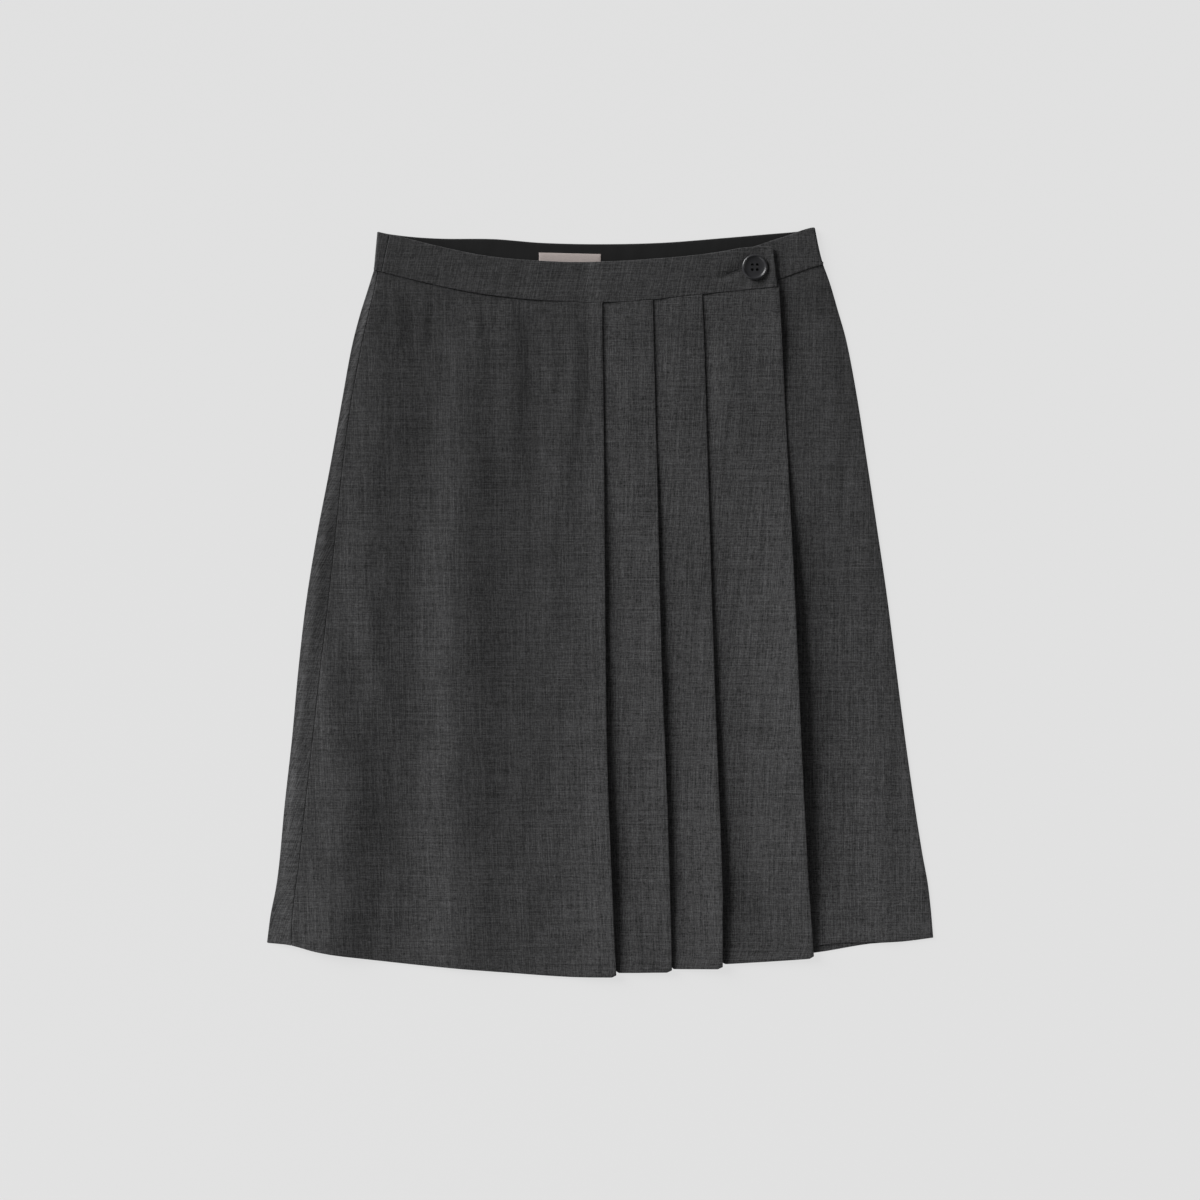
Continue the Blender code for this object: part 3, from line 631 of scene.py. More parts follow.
def over_wrap_row(share):
    """Points of the over wrap's middle across one row, and the column of its first fold."""
    start_x = line("left_seam", share) + SEAM_GAP / 2
    xs, zs, panels = [], [], []
    anchor = 0

    def add(x, z, panel):
        xs.append(x)
        zs.append(z)
        panels.append(np.broadcast_to(panel, x.shape).astype(float))

    for i, name in enumerate(LIFT_NAMES):
        last = name == "wrap_edge"
        layers = 1 if last else 2
        depth = FACING_WIDTH if last else pleat_depth(share)
        outer_x = line(name, share) - CLOTH / 2 - LAYER / 2
        inner_x = line(name, share) - depth + CLOTH / 2 + LAYER / 2
        zone = spread(inner_x, outer_x, ZONE_POINTS[name])
        if i == 0:
            seam_columns = [start_x + width for width in SEAM_COLUMNS]
            lead = spread(start_x + SEAM_COLUMNS_END, inner_x, steps(PLAIN_FRONT_WIDTH, COLUMN_STEP))
            top_x = np.concatenate([seam_columns, lead[:-1], zone])
            anchor = len(top_x) - 1
            climb_start = inner_x - FIRST_CLIMB_WIDTH
            climb_end = inner_x + FIRST_CLIMB_END
        else:
            lead = spread(start_x, inner_x, OPEN_POINTS[name])
            top_x = np.concatenate([lead[1:-1], zone])
            climb_start = start_x + CLIMB_INSET
            climb_end = start_x + LAST_CLIMB_WIDTH if last else inner_x
        climb = layers * LAYER * smooth_step((top_x - climb_start) / (climb_end - climb_start))
        top_z = over_base(top_x, share) + climb + fold_lift(top_x, name, share)
        add(top_x, top_z, i)
        turn_x, turn_z = turn(outer_x, top_z[-1], top_z[-1] - LAYER, 1)
        add(turn_x, turn_z, i)
        back_x = zone[::-1]
        under = 0.0 if last else (outer_x - back_x) / (outer_x - inner_x)
        back_z = over_base(back_x, share) + (layers - 1) * LAYER + fold_lift(back_x, name, share)
        add(back_x, back_z, i + under)
        if last:
            break
        turn_x, turn_z = turn(inner_x, back_z[-1], float(over_base(inner_x, share)), -1)
        add(turn_x, turn_z, i + 1)
        add(zone, over_base(zone, share), i + 1)
        start_x = outer_x
    x = np.concatenate(xs)
    z = np.concatenate(zs)
    y_top = curve_at(OVER_SEAM, x) - SEAM_GAP / 2
    y = mix(y_top, over_hem(x, np.concatenate(panels)) + corner_rise(x, share), share)
    rise = (soft_folds(x, y) + wobble(x, y)) * side_hold(x, share) * waist_hold(share)
    return joined([(x, y, z + rise - seam_dip(x, share))], anchor)


def under_wrap_row(share):
    """Points of the under wrap's middle: front from its hidden edge, right fold, strip below."""
    fold_x = line("right_fold", share)
    level = FRONT_LEVEL + UNDER_WAIST_RISE * sink(share)
    near = fold_x - CLOTH / 2 - (level - BACK_LEVEL) / 2
    front_x = spread(line("hidden_edge", share), near, steps(UNDER_WIDTH, UNDER_COLUMN_STEP))
    front_y = panel_y(UNDER_SEAM, UNDER_HEM, front_x, share)
    shown = smooth_step((front_x - line("wrap_edge", share) - UNDER_SHOWN_INSET) / UNDER_SHOWN_WIDTH)
    rise = (wobble(front_x, front_y) + soft_folds(front_x, front_y) * shown) * waist_hold(share)
    front_z = level + rise * side_hold(front_x, share) + under_roll(front_x, share)
    turn_x, turn_z = turn(near, level, BACK_LEVEL, 1)
    low_x = spread(near, fold_x - RIGHT_STRIP + SEAM_GAP / 2, RIGHT_STRIP_POINTS)
    return joined([
        (front_x, front_y, front_z),
        (turn_x, panel_y(UNDER_SEAM, UNDER_HEM, turn_x, share), turn_z),
        (low_x, panel_y(BACK_SEAM, BACK_HEM, low_x, share), BACK_LEVEL),
    ])


def back_row(share):
    """Points of the back's middle: flat below, left fold, and the strip that shows in front."""
    level = FRONT_LEVEL + WAIST_RISE * sink(share)
    near = line("left_fold", share) + CLOTH / 2 + (level - BACK_LEVEL) / 2
    low_start = line("right_fold", share) - RIGHT_STRIP - SEAM_GAP / 2
    low_x = spread(low_start, near, steps(BACK_WIDTH, BACK_COLUMN_STEP))
    turn_x, turn_z = turn(near, BACK_LEVEL, level, -1)
    seam_x = line("left_seam", share) - SEAM_GAP / 2
    seam_columns = [seam_x - width for width in SEAM_COLUMNS[::-1]]
    top_x = np.concatenate([spread(near, seam_x - STRIP_COLUMNS_END, LEFT_STRIP_POINTS), seam_columns])
    x = np.concatenate([turn_x, top_x])
    y = mix(curve_at(OVER_SEAM, x) - SEAM_GAP / 2, over_hem(x, np.zeros_like(x)), share)
    top_y = y[len(turn_x):]
    rise = (soft_folds(top_x, top_y) + wobble(top_x, top_y)) * side_hold(top_x, share) * waist_hold(share)
    rise = rise + strip_roll(top_x, share)
    return joined([
        (low_x, panel_y(BACK_SEAM, BACK_HEM, low_x, share), BACK_LEVEL),
        (x, y, np.concatenate([turn_z, level + rise - seam_dip(top_x, share)])),
    ])


def over_band_level(x):
    """Middle of the over wrap's band: on the facing, then the label, then the under wrap's band."""
    on_label = smooth_step((x - LABEL_LEFT + LABEL_RAMP) / LABEL_RAMP)
    on_band = smooth_step((x - LABEL_RIGHT + LABEL_RAMP) / LABEL_RAMP)
    level = mix(LOW_BAND_LEVEL, LOW_BAND_LEVEL + LABEL_CLOTH + AIR, on_label)
    curl = BAND_CURL * smooth_step((x - band_end("wrap_end", 0.0)) / BAND_CURL_LENGTH + 1.0)
    return mix(level, HIGH_BAND_LEVEL, on_band) + curl


def dimple(x, y):
    """How far the over wrap's band is drawn down under the button and along the buttonhole."""
    drawn = np.zeros_like(np.asarray(x, float))
    for middle_x, middle_y, turned, length, width, depth in DIMPLES:
        angle = math.radians(turned)
        right = x - middle_x
        up = y - middle_y
        along = (right * math.cos(angle) + up * math.sin(angle)) / length
        across = (up * math.cos(angle) - right * math.sin(angle)) / width
        drawn = drawn + depth * np.exp(-along ** 2 - across ** 2)
    return drawn


def over_band_height(x, y):
    """Middle of the over wrap's band at a place, with its unevenness and its dimples."""
    return over_band_level(x) + BAND_WOBBLE_SHARE * wobble(x, y) - dimple(x, y)


def over_band_row(share):
    """Points of the over wrap band's middle across one row."""
    start = band_end("left_seam", share) + BAND_SIDE_GAP / 2
    x = spread(start, band_end("wrap_end", share), steps(OVER_BAND_LENGTH, OVER_BAND_STEP))
    past = np.clip((x - band_end("wrap_end", 0.0)) / BAND_CORNER_RADIUS + 1.0, 0.0, 1.2)
    y_top = curve_at(OVER_BAND_TOP, x) - BAND_CORNER_DROP * past ** 3
    y = mix(y_top, curve_at(OVER_SEAM, x) + SEAM_GAP / 2, share)
    return joined([(x, y, over_band_height(x, y))])


def folded_band_row(share, top, low, counts, edges):
    """Points of a band that turns over a side fold, from its upper run to its lower one."""
    side = 1 if top[1] > top[0] else -1
    turn_x, turn_z = turn(top[1], LOW_BAND_LEVEL, BACK_BAND_LEVEL, side)
    top_x = spread(*top, counts[0])
    low_x = spread(*low, counts[1])
    return joined([
        (top_x, band_y(*edges, top_x, share), LOW_BAND_LEVEL),
        (turn_x, band_y(*edges, turn_x, share), turn_z),
        (low_x, band_y(BACK_TOP, BACK_SEAM, low_x, share), BACK_BAND_LEVEL),
    ])


def under_band_row(share):
    """Points of the under wrap band's middle: front, right fold and the strip below."""
    fold_x = band_end("right_fold", share)
    near = fold_x - LOW_BAND_LEVEL / 2 - BAND_FOLD_INSET
    low = (near, fold_x - RIGHT_BAND_STRIP + SEAM_GAP / 2)
    points, anchor = folded_band_row(
        share, (UNDER_BAND_START, near), low, UNDER_BAND_POINTS, (UNDER_BAND_TOP, UNDER_SEAM)
    )
    upper = points[:, 2] > LOW_BAND_LEVEL - 0.01
    points[:, 2] -= np.where(upper, DIMPLE_BELOW_SHARE * dimple(points[:, 0], points[:, 1]), 0.0)
    return points, anchor


def back_band_row(share):
    """Points of the back waistband's middle: the strip in front, left fold and below."""
    near = band_end("left_fold", share) + LOW_BAND_LEVEL / 2 + BAND_FOLD_INSET
    right_x = band_end("right_fold", share) - RIGHT_BAND_STRIP - SEAM_GAP / 2
    seam_x = band_end("left_seam", share) - BAND_SIDE_GAP / 2
    return folded_band_row(
        share, (seam_x, near), (near, right_x), BACK_BAND_POINTS, (OVER_BAND_TOP, OVER_SEAM)
    )


def facing_row(share):
    """Points of the facing's middle, which lies on the back waistband."""
    left_x = band_end("left_fold", share) + FACING_SIDE_INSET
    right_x = band_end("right_fold", share) - FACING_SIDE_INSET
    x = spread(left_x, right_x, steps(FACING_LENGTH, FACING_STEP))
    y = mix(curve_at(BACK_TOP, x) - FACING_INSET, curve_at(BACK_SEAM, x) + SEAM_GAP / 2, share)
    return joined([(x, y, FACING_LEVEL)])


def label_row(share):
    """Points of the label's middle, which lies on the facing."""
    x = spread(LABEL_LEFT, LABEL_RIGHT, steps(LABEL_RIGHT - LABEL_LEFT, LABEL_STEP))
    y = LABEL_TOP + LABEL_TILT * (x - LABEL_LEFT) - LABEL_HEIGHT * share
    return joined([(x, y, LABEL_LEVEL)])


def rim(edge, inner, radius):
    """Rows from an edge inwards, and how full the wall is at each."""
    length = np.linalg.norm(inner - edge, axis=1).mean()
    rows = [edge] + [mix(edge, inner, min(part * radius / length, RIM_LIMIT)) for part in RIM_STEPS]
    full = [RIM_EDGE] + [math.sqrt(1.0 - (1.0 - part) ** 2) for part in RIM_STEPS]
    return rows, full


def with_rim(grid, radius):
    """The grid with extra rows close to its first and last row, and how full the wall is at each row."""
    first_rows, first_full = rim(grid[0], grid[1], radius)
    last_rows, last_full = rim(grid[-1], grid[-2], radius)
    rows = first_rows + list(grid[1:-1]) + last_rows[::-1]
    full = first_full + [1.0] * (len(grid) - 2) + last_full[::-1]
    return np.array(rows), np.array(full)


def normals_across(grid):
    """Unit directions square to each row's run, seen along the skirt."""
    step = np.diff(grid[:, :, (0, 2)], axis=1)
    step = step / np.maximum(np.linalg.norm(step, axis=2, keepdims=True), 1e-9)
    run = np.empty_like(grid[:, :, (0, 2)])
    run[:, 1:-1] = step[:, 1:] + step[:, :-1]
    run[:, 0] = step[:, 0]
    run[:, -1] = step[:, -1]
    run = run / np.linalg.norm(run, axis=2, keepdims=True)
    return np.stack([-run[:, :, 1], np.zeros_like(run[:, :, 0]), run[:, :, 0]], 2)


def cloth(name, row_of, shares, thickness, surface, tucked=False):
    """A thin closed shell around the middle surface that row_of gives, with rounded edges."""
    rows = [row_of(share) for share in shares]
    anchor = rows[0][1]
    grid = np.array([row for row, _ in rows])
    if tucked:
        allowance = [grid[0] + np.array((0.0, up, down)) for up, down in TUCK]
        grid = np.concatenate([allowance, grid])
    grid, full_down = with_rim(grid, thickness / 2)
    turned, full_across = with_rim(grid.transpose(1, 0, 2), thickness / 2)
    grid = turned.transpose(1, 0, 2)
    anchor = anchor + len(RIM_STEPS)
    full = np.minimum.outer(full_down, full_across)
    half = normals_across(grid) * (full * thickness / 2)[:, :, None]
    lengths = np.linalg.norm(np.diff(grid, axis=1), axis=2)
    across = np.concatenate([np.zeros((len(grid), 1)), np.cumsum(lengths, axis=1)], axis=1)
    across = across - across[:, anchor:anchor + 1] + grid[:, anchor:anchor + 1, 0].mean()
    count_r, count_c = grid.shape[:2]
    points = np.concatenate([(grid + half).reshape(-1, 3), (grid - half).reshape(-1, 3)]) * MM
    places = np.stack([across, grid[:, :, 1]], 2).reshape(-1, 2) * MM
    places = np.concatenate([places, places])
    index = np.arange(count_r * count_c).reshape(count_r, count_c)
    under = index + count_r * count_c
    quads = [
        np.stack([index[:-1, :-1], index[1:, :-1], index[1:, 1:], index[:-1, 1:]], 2).reshape(-1, 4),
        np.stack([under[:-1, :-1], under[:-1, 1:], under[1:, 1:], under[1:, :-1]], 2).reshape(-1, 4),
        np.stack([index[:-1, 0], under[:-1, 0], under[1:, 0], index[1:, 0]], 1),
        np.stack([index[:-1, -1], index[1:, -1], under[1:, -1], under[:-1, -1]], 1),
        np.stack([index[0, :-1], index[0, 1:], under[0, 1:], under[0, :-1]], 1),
        np.stack([index[-1, :-1], under[-1, :-1], under[-1, 1:], index[-1, 1:]], 1),
    ]
    faces = np.concatenate(quads)
    mesh = bpy.data.meshes.new(name)
    mesh.from_pydata(points.tolist(), [], faces.tolist())
    layer = mesh.uv_layers.new(name="cloth")
    layer.uv.foreach_set("vector", places[faces.ravel()].astype(np.float32).ravel())
    mesh.shade_smooth()
    made = add_piece(name, mesh, surface)
    outward(made)
    return made


def outward(piece):
    """Turn all faces of a closed piece outwards."""
    bm = bmesh.new()
    bm.from_mesh(piece.data)
    bmesh.ops.recalc_face_normals(bm, faces=bm.faces)
    bm.to_mesh(piece.data)
    bm.free()


def from_bmesh(bm, name):
    """A mesh of what a bmesh holds, with its faces turned outwards."""
    bmesh.ops.recalc_face_normals(bm, faces=bm.faces)
    mesh = bpy.data.meshes.new(name)
    bm.to_mesh(mesh)
    bm.free()
    return mesh


def placed(name, data):
    """A named object of some data, linked to the scene."""
    made = bpy.data.objects.new(name, data)
    bpy.context.scene.collection.objects.link(made)
    return made


def add_piece(name, mesh, surface):
    """Link a mesh to the scene as a named object with its material."""
    mesh.materials.append(surface)
    return placed(name, mesh)


class Nodes:
    """A material's node tree, with short calls to add and join nodes."""

    def __init__(self, name):
        self.material = bpy.data.materials.new(name)
        self.material.use_nodes = True
        self.tree = self.material.node_tree
        self.shader = self.tree.nodes["Principled BSDF"]

    def add(self, kind, **values):
        node = self.tree.nodes.new(kind)
        for key, value in values.items():
            setattr(node, key, value)
        return node

    def link(self, source, target):
        self.tree.links.new(source, target)

    def math(self, operation, first, second=0.0):
        node = self.add("ShaderNodeMath", operation=operation)
        for socket, value in zip(node.inputs, (first, second)):
            if isinstance(value, (int, float)):
                socket.default_value = value
            else:
                self.link(value, socket)
        return node.outputs[0]

    def noise(self, place, scale, detail=2.0, roughness=0.5):
        """Noise whose cells are scale = (across, down) metres, centred on 0."""
        fit = self.add("ShaderNodeMapping")
        fit.inputs["Scale"].default_value = (1.0 / scale[0], 1.0 / scale[1], 1.0)
        self.link(place, fit.inputs["Vector"])
        node = self.add("ShaderNodeTexNoise")
        node.inputs["Scale"].default_value = 1.0
        node.inputs["Detail"].default_value = detail
        node.inputs["Roughness"].default_value = roughness
        self.link(fit.outputs["Vector"], node.inputs["Vector"])
        return self.math("SUBTRACT", node.outputs["Fac"], 0.5)

    def shade(self, total, *parts):
        """The total with each (output, amount) pair's product added to it, and 1."""
        for output, amount in parts:
            total = self.math("ADD", total, self.math("MULTIPLY", output, amount))
        return self.math("ADD", total, 1.0)

    def cloth_place(self):
        return self.add("ShaderNodeUVMap", uv_map="cloth").outputs["UV"]

    def tinted(self, colour, amount):
        """The colour times an amount that varies over the surface."""
        scale = self.add("ShaderNodeVectorMath", operation="SCALE")
        scale.inputs[0].default_value = colour
        self.link(amount, scale.inputs["Scale"])
        self.link(scale.outputs["Vector"], self.shader.inputs["Base Color"])

    def bump(self, height, distance, strength):
        node = self.add("ShaderNodeBump")
        node.inputs["Distance"].default_value = distance
        node.inputs["Strength"].default_value = strength
        self.link(height, node.inputs["Height"])
        self.link(node.outputs["Normal"], self.shader.inputs["Normal"])

    def set(self, **values):
        for key, value in values.items():
            self.shader.inputs[key.replace("_", " ")].default_value = value


class Weave:
    """Plain weave on the cloth's own coordinates: which yarn is on top, and how high it stands."""

    def __init__(self, nodes, pitch):
        self.nodes = nodes
        parts = nodes.add("ShaderNodeSeparateXYZ")
        nodes.link(nodes.cloth_place(), parts.inputs[0])
        self.across = parts.outputs["X"]
        self.down = parts.outputs["Y"]
        self.pitch = pitch
        waves = [
            nodes.math("SINE", nodes.math("MULTIPLY", way, math.pi / pitch))
            for way in (self.across, self.down)
        ]
        self.wave = nodes.math("MULTIPLY", waves[0], waves[1])
        self.height = nodes.math("SQRT", nodes.math("ABSOLUTE", self.wave))
        self.warp_on_top = nodes.math("GREATER_THAN", self.wave, 0.0)

    def yarns(self, along, across, length, apart):
        """One value along each yarn, which changes over a length and differs from yarn to yarn."""
        nodes = self.nodes
        number = nodes.math("FLOOR", nodes.math("DIVIDE", across, self.pitch))
        place = nodes.add("ShaderNodeCombineXYZ")
        nodes.link(nodes.math("DIVIDE", along, length), place.inputs["X"])
        nodes.link(nodes.math("MULTIPLY", number, apart), place.inputs["Y"])
        noise = nodes.add("ShaderNodeTexNoise", noise_dimensions="2D")
        noise.inputs["Scale"].default_value = 1.0
        noise.inputs["Detail"].default_value = 1.0
        nodes.link(place.outputs["Vector"], noise.inputs["Vector"])
        return nodes.math("SUBTRACT", noise.outputs["Fac"], 0.5)

    def tone(self, slub_length, long_length, warp_amount, weft_amount):
        """How light the yarn on top is: slubs and long changes of shade along each yarn."""
        nodes = self.nodes
        warp = nodes.math(
            "ADD",
            self.yarns(self.down, self.across, slub_length, 7.31),
            self.yarns(self.down, self.across, long_length, 5.17),
        )
        weft = nodes.math(
            "ADD",
            self.yarns(self.across, self.down, slub_length, 6.43),
            self.yarns(self.across, self.down, long_length, 4.71),
        )
        chosen = nodes.add("ShaderNodeMix")
        nodes.link(self.warp_on_top, chosen.inputs["Factor"])
        nodes.link(nodes.math("MULTIPLY", weft, weft_amount), chosen.inputs["A"])
        nodes.link(nodes.math("MULTIPLY", warp, warp_amount), chosen.inputs["B"])
        return chosen.outputs["Result"]


def painted_shading_by_place(nodes, right, left):
    """Painted light and shade: a multiplier on the colour from waist to hem, right of the first pleat's fold
    and left of it, each given as a (waist, hem) pair; it stands in for how the light falls across the skirt.
    """
    parts = nodes.add("ShaderNodeSeparateXYZ")
    nodes.link(nodes.add("ShaderNodeTexCoord").outputs["Object"], parts.inputs[0])
    sides = []
    for waist, hem in (right, left):
        ramp = nodes.add("ShaderNodeMapRange")
        for socket, value in zip(ramp.inputs[1:5], (PAINTED_SHADING_WAIST_Y * MM, PAINTED_SHADING_HEM_Y * MM, waist, hem)):
            socket.default_value = value
        nodes.link(parts.outputs["Y"], ramp.inputs["Value"])
        sides.append(ramp.outputs["Result"])
    side = nodes.add("ShaderNodeMapRange", interpolation_type="SMOOTHSTEP")
    for socket, value in zip(side.inputs[1:3], (PAINTED_SHADING_LEFT_X * MM, PAINTED_SHADING_RIGHT_X * MM)):
        socket.default_value = value
    nodes.link(parts.outputs["X"], side.inputs["Value"])
    chosen = nodes.add("ShaderNodeMix")
    nodes.link(side.outputs["Result"], chosen.inputs["Factor"])
    nodes.link(sides[1], chosen.inputs["A"])
    nodes.link(sides[0], chosen.inputs["B"])
    return chosen.outputs["Result"]


def wool_material(name, right, left):
    """Fine melange wool: plain weave of yarns whose shade changes along them and from one to the next, times
    painted light and shade by place.
    """
    nodes = Nodes(name)
    place = nodes.cloth_place()
    weave = Weave(nodes, pitch=0.00042)
    yarns = weave.tone(slub_length=0.007, long_length=0.060, warp_amount=3.9, weft_amount=3.0)
    fleck = nodes.noise(place, (0.0017, 0.0017), detail=3.0, roughness=0.8)
    patch = nodes.noise(place, (0.030, 0.045), detail=3.0)
    shade = nodes.math("MAXIMUM", nodes.shade(yarns, (fleck, 3.0), (patch, 0.22)), 0.12)
    # Painted light and shade: the colour is multiplied by a ramp by place that stands in for how the light
    # falls.
    nodes.tinted(WOOL, nodes.math("MULTIPLY", shade, painted_shading_by_place(nodes, right, left)))
    height = nodes.math("ADD", weave.height, nodes.math("MULTIPLY", fleck, 0.8))
    nodes.bump(height, distance=0.00008, strength=0.35)
    nodes.set(Roughness=0.95, Sheen_Weight=0.12, Sheen_Roughness=0.6, Specular_IOR_Level=0.15)
    return nodes.material


def facing_material():
    """Smooth black facing cloth with a faint fine rib."""
    nodes = Nodes("facing_cloth")
    place = nodes.cloth_place()
    rib = nodes.noise(place, (0.0008, 0.012))
    patch = nodes.noise(place, (0.010, 0.020))
    nodes.tinted(FACING_BLACK, nodes.shade(nodes.math("MULTIPLY", rib, 0.6), (patch, 1.1)))
    nodes.bump(Weave(nodes, pitch=0.00035).height, distance=0.00005, strength=0.3)
    nodes.set(Roughness=0.8, Specular_IOR_Level=0.25)
    return nodes.material


def label_material():
    """Bare woven ribbon in a dusty beige."""
    nodes = Nodes("label_cloth")
    place = nodes.cloth_place()
    rib = nodes.noise(place, (0.0030, 0.0006))
    fleck = nodes.noise(place, (0.0008, 0.0008), detail=1.0)
    nodes.tinted(LABEL_BEIGE, nodes.shade(nodes.math("MULTIPLY", rib, 0.35), (fleck, 0.35)))
    nodes.bump(Weave(nodes, pitch=0.0003).height, distance=0.00005, strength=0.4)
    nodes.set(Roughness=0.6)
    return nodes.material


def button_material():
    """Dark grey resin with a faint cloud in it and fine round turning marks."""
    nodes = Nodes("button_resin")
    place = nodes.add("ShaderNodeTexCoord").outputs["Object"]
    cloud = nodes.noise(place, (0.004, 0.006), detail=3.0, roughness=0.6)
    centred = nodes.add("ShaderNodeVectorMath", operation="SUBTRACT")
    top = BUTTON_BASE + BUTTON_PROFILE[0][1]
    centred.inputs[1].default_value = (BUTTON_X * MM, BUTTON_Y * MM, top * MM)
    nodes.link(place, centred.inputs[0])
    radius = nodes.add("ShaderNodeVectorMath", operation="LENGTH")
    nodes.link(centred.outputs["Vector"], radius.inputs[0])
    marks = nodes.add("ShaderNodeTexNoise", noise_dimensions="1D")
    marks.inputs["Scale"].default_value = 1.0
    marks.inputs["Detail"].default_value = 1.0
    nodes.link(nodes.math("DIVIDE", radius.outputs["Value"], BUTTON_MARKS), marks.inputs["W"])
    mark = nodes.math("SUBTRACT", marks.outputs["Fac"], 0.5)
    nodes.tinted(BUTTON_GREY, nodes.shade(nodes.math("MULTIPLY", cloud, 0.8), (mark, 0.9)))
    nodes.bump(mark, distance=0.00004, strength=0.5)
    nodes.set(Roughness=0.32, Specular_IOR_Level=0.42)
    return nodes.material


def thread_material(name, colour):
    """Dark sewing thread with a slight twist. The black one also makes the buttonhole's slit, as painted
    shade, and the grey one of the buttonhole's stitches is a little darker than the cloth, partly as painted
    shade of the buttonhole's dimple.
    """
    nodes = Nodes(name)
    twist = nodes.noise(nodes.add("ShaderNodeTexCoord").outputs["Object"], (0.0004, 0.0004))
    nodes.tinted(colour, nodes.shade(nodes.math("MULTIPLY", twist, 1.4)))
    nodes.set(Roughness=0.6)
    return nodes.material


def floor_material():
    """Plain pale floor that lights itself a little, so shadows on it stay faint."""
    nodes = Nodes("pale_floor")
    nodes.set(
        Base_Color=(FLOOR_GREY, FLOOR_GREY, FLOOR_GREY, 1.0), Roughness=1.0, Specular_IOR_Level=0.0,
        Emission_Color=(1.0, 1.0, 1.0, 1.0), Emission_Strength=FLOOR_GLOW,
    )
    return nodes.material


def button(surface):
    """The turned button with its four holes."""
    bm = bmesh.new()
    rings = []
    for radius, height in BUTTON_PROFILE:
        count = BUTTON_SEGMENTS if radius > 0 else 1
        angles = [2 * math.pi * i / BUTTON_SEGMENTS for i in range(count)]
        rings.append([
            bm.verts.new((radius * MM * math.cos(a), radius * MM * math.sin(a), height * MM)) for a in angles
        ])
    for one, two in zip(rings, rings[1:]):
        for i in range(BUTTON_SEGMENTS):
            j = (i + 1) % BUTTON_SEGMENTS
            corners = (one[i % len(one)], one[j % len(one)], two[j % len(two)], two[i % len(two)])
            bm.faces.new(list(dict.fromkeys(corners)))
    made = add_piece("button_turned", from_bmesh(bm, "button_turned"), surface)
    cutters = []
    for x in HOLE_SIDES:
        for y in HOLE_SIDES:
            bpy.ops.mesh.primitive_cylinder_add(
                vertices=24, radius=BUTTON_HOLE_RADIUS * MM, depth=12 * MM, location=(x * MM, y * MM, 0.0)
            )
            cutters.append(bpy.context.object)
            cut = made.modifiers.new("hole", "BOOLEAN")
            cut.operation = "DIFFERENCE"
            cut.object = cutters[-1]
    apply_modifiers(made)
    for cutter in cutters:
        bpy.data.objects.remove(cutter, do_unlink=True)
    made.data.transform(Matrix.Translation((BUTTON_X * MM, BUTTON_Y * MM, BUTTON_BASE * MM)))
    made.data.set_sharp_from_angle(angle=math.radians(BUTTON_SHARP_ANGLE))
    return made


def apply_modifiers(piece):
    """Replace a piece's mesh by what its modifiers make of it."""
    graph = bpy.context.evaluated_depsgraph_get()
    made = bpy.data.meshes.new_from_object(piece.evaluated_get(graph))
    piece.modifiers.clear()
    piece.data = made
    made.shade_smooth()


def tube(bm, points, radius, sides):
    """Add a closed round tube along points to a bmesh."""
    points = np.array(points, float) * MM
    angles = [2 * math.pi * k / sides for k in range(sides)]
    rings = []
    for i, point in enumerate(points):
        run = points[min(i + 1, len(points) - 1)] - points[max(i - 1, 0)]
        run = run / np.linalg.norm(run)
        side = np.cross(run, (0.0, 0.0, 1.0) if abs(run[2]) < 0.9 else (1.0, 0.0, 0.0))
        side = side / np.linalg.norm(side)
        up = np.cross(side, run)
        rings.append([
            bm.verts.new(point + radius * MM * (math.cos(a) * side + math.sin(a) * up)) for a in angles
        ])
    for one, two in zip(rings, rings[1:]):
        for k in range(sides):
            j = (k + 1) % sides
            bm.faces.new((one[k], one[j], two[j], two[k]))
    bm.faces.new(rings[0][::-1])
    bm.faces.new(rings[-1])


def stitched(name, threads, surface, sides=8):
    """One piece of many thread lengths, given as (paths, radius) groups."""
    bm = bmesh.new()
    for paths, radius in threads:
        for path in paths:
            tube(bm, path, radius, sides)
    mesh = from_bmesh(bm, name)
    mesh.shade_smooth()
    return add_piece(name, mesh, surface)


def arch(start, end, height, count=7):
    """Points of a low arch of thread from start to end."""
    start = np.array(start, float)
    end = np.array(end, float)
    points = []
    for i in range(count):
        share = i / (count - 1)
        point = mix(start, end, share)
        point[2] += height * math.sin(math.pi * share)
        points.append(point)
    return points


def button_thread(surface):
    """Thin thread bars between the button's holes, the thread that fills the holes, and the shank."""
    top = BUTTON_BASE + BUTTON_PROFILE[0][1] - THREAD_SINK
    bars = []
    fills = []
    for x in HOLE_SIDES:
        ends = [(BUTTON_X + x, BUTTON_Y + y, top) for y in HOLE_SIDES]
        bars.append(arch(*ends, THREAD_RISE))
        for y in HOLE_SIDES:
            fills.append([(BUTTON_X + x, BUTTON_Y + y, BUTTON_BASE + z) for z in HOLE_THREAD_HEIGHTS])
    for k in range(SHANK_TURNS):
        z = BUTTON_BASE - SHANK_DROP + SHANK_PITCH * k
        bars.append([
            (BUTTON_X + SHANK_RADIUS * math.cos(a), BUTTON_Y + SHANK_RADIUS * math.sin(a), z)
            for a in np.linspace(0.0, 2 * math.pi * 0.97, 14)
        ])
    threads = [(bars, THREAD_RADIUS), (fills, BUTTON_HOLE_RADIUS - HOLE_THREAD_GAP)]
    return stitched("button_thread", threads, surface)


def buttonhole_level(x, y):
    """Top of the over wrap's band at a place beside the buttonhole."""
    return float(over_band_height(x, y)) + BAND_CLOTH / 2


def buttonhole_y(x):
    """y of the buttonhole's middle at x."""
    return BUTTONHOLE_MIDDLE[1] + BUTTONHOLE_SLOPE * (x - BUTTONHOLE_MIDDLE[0])


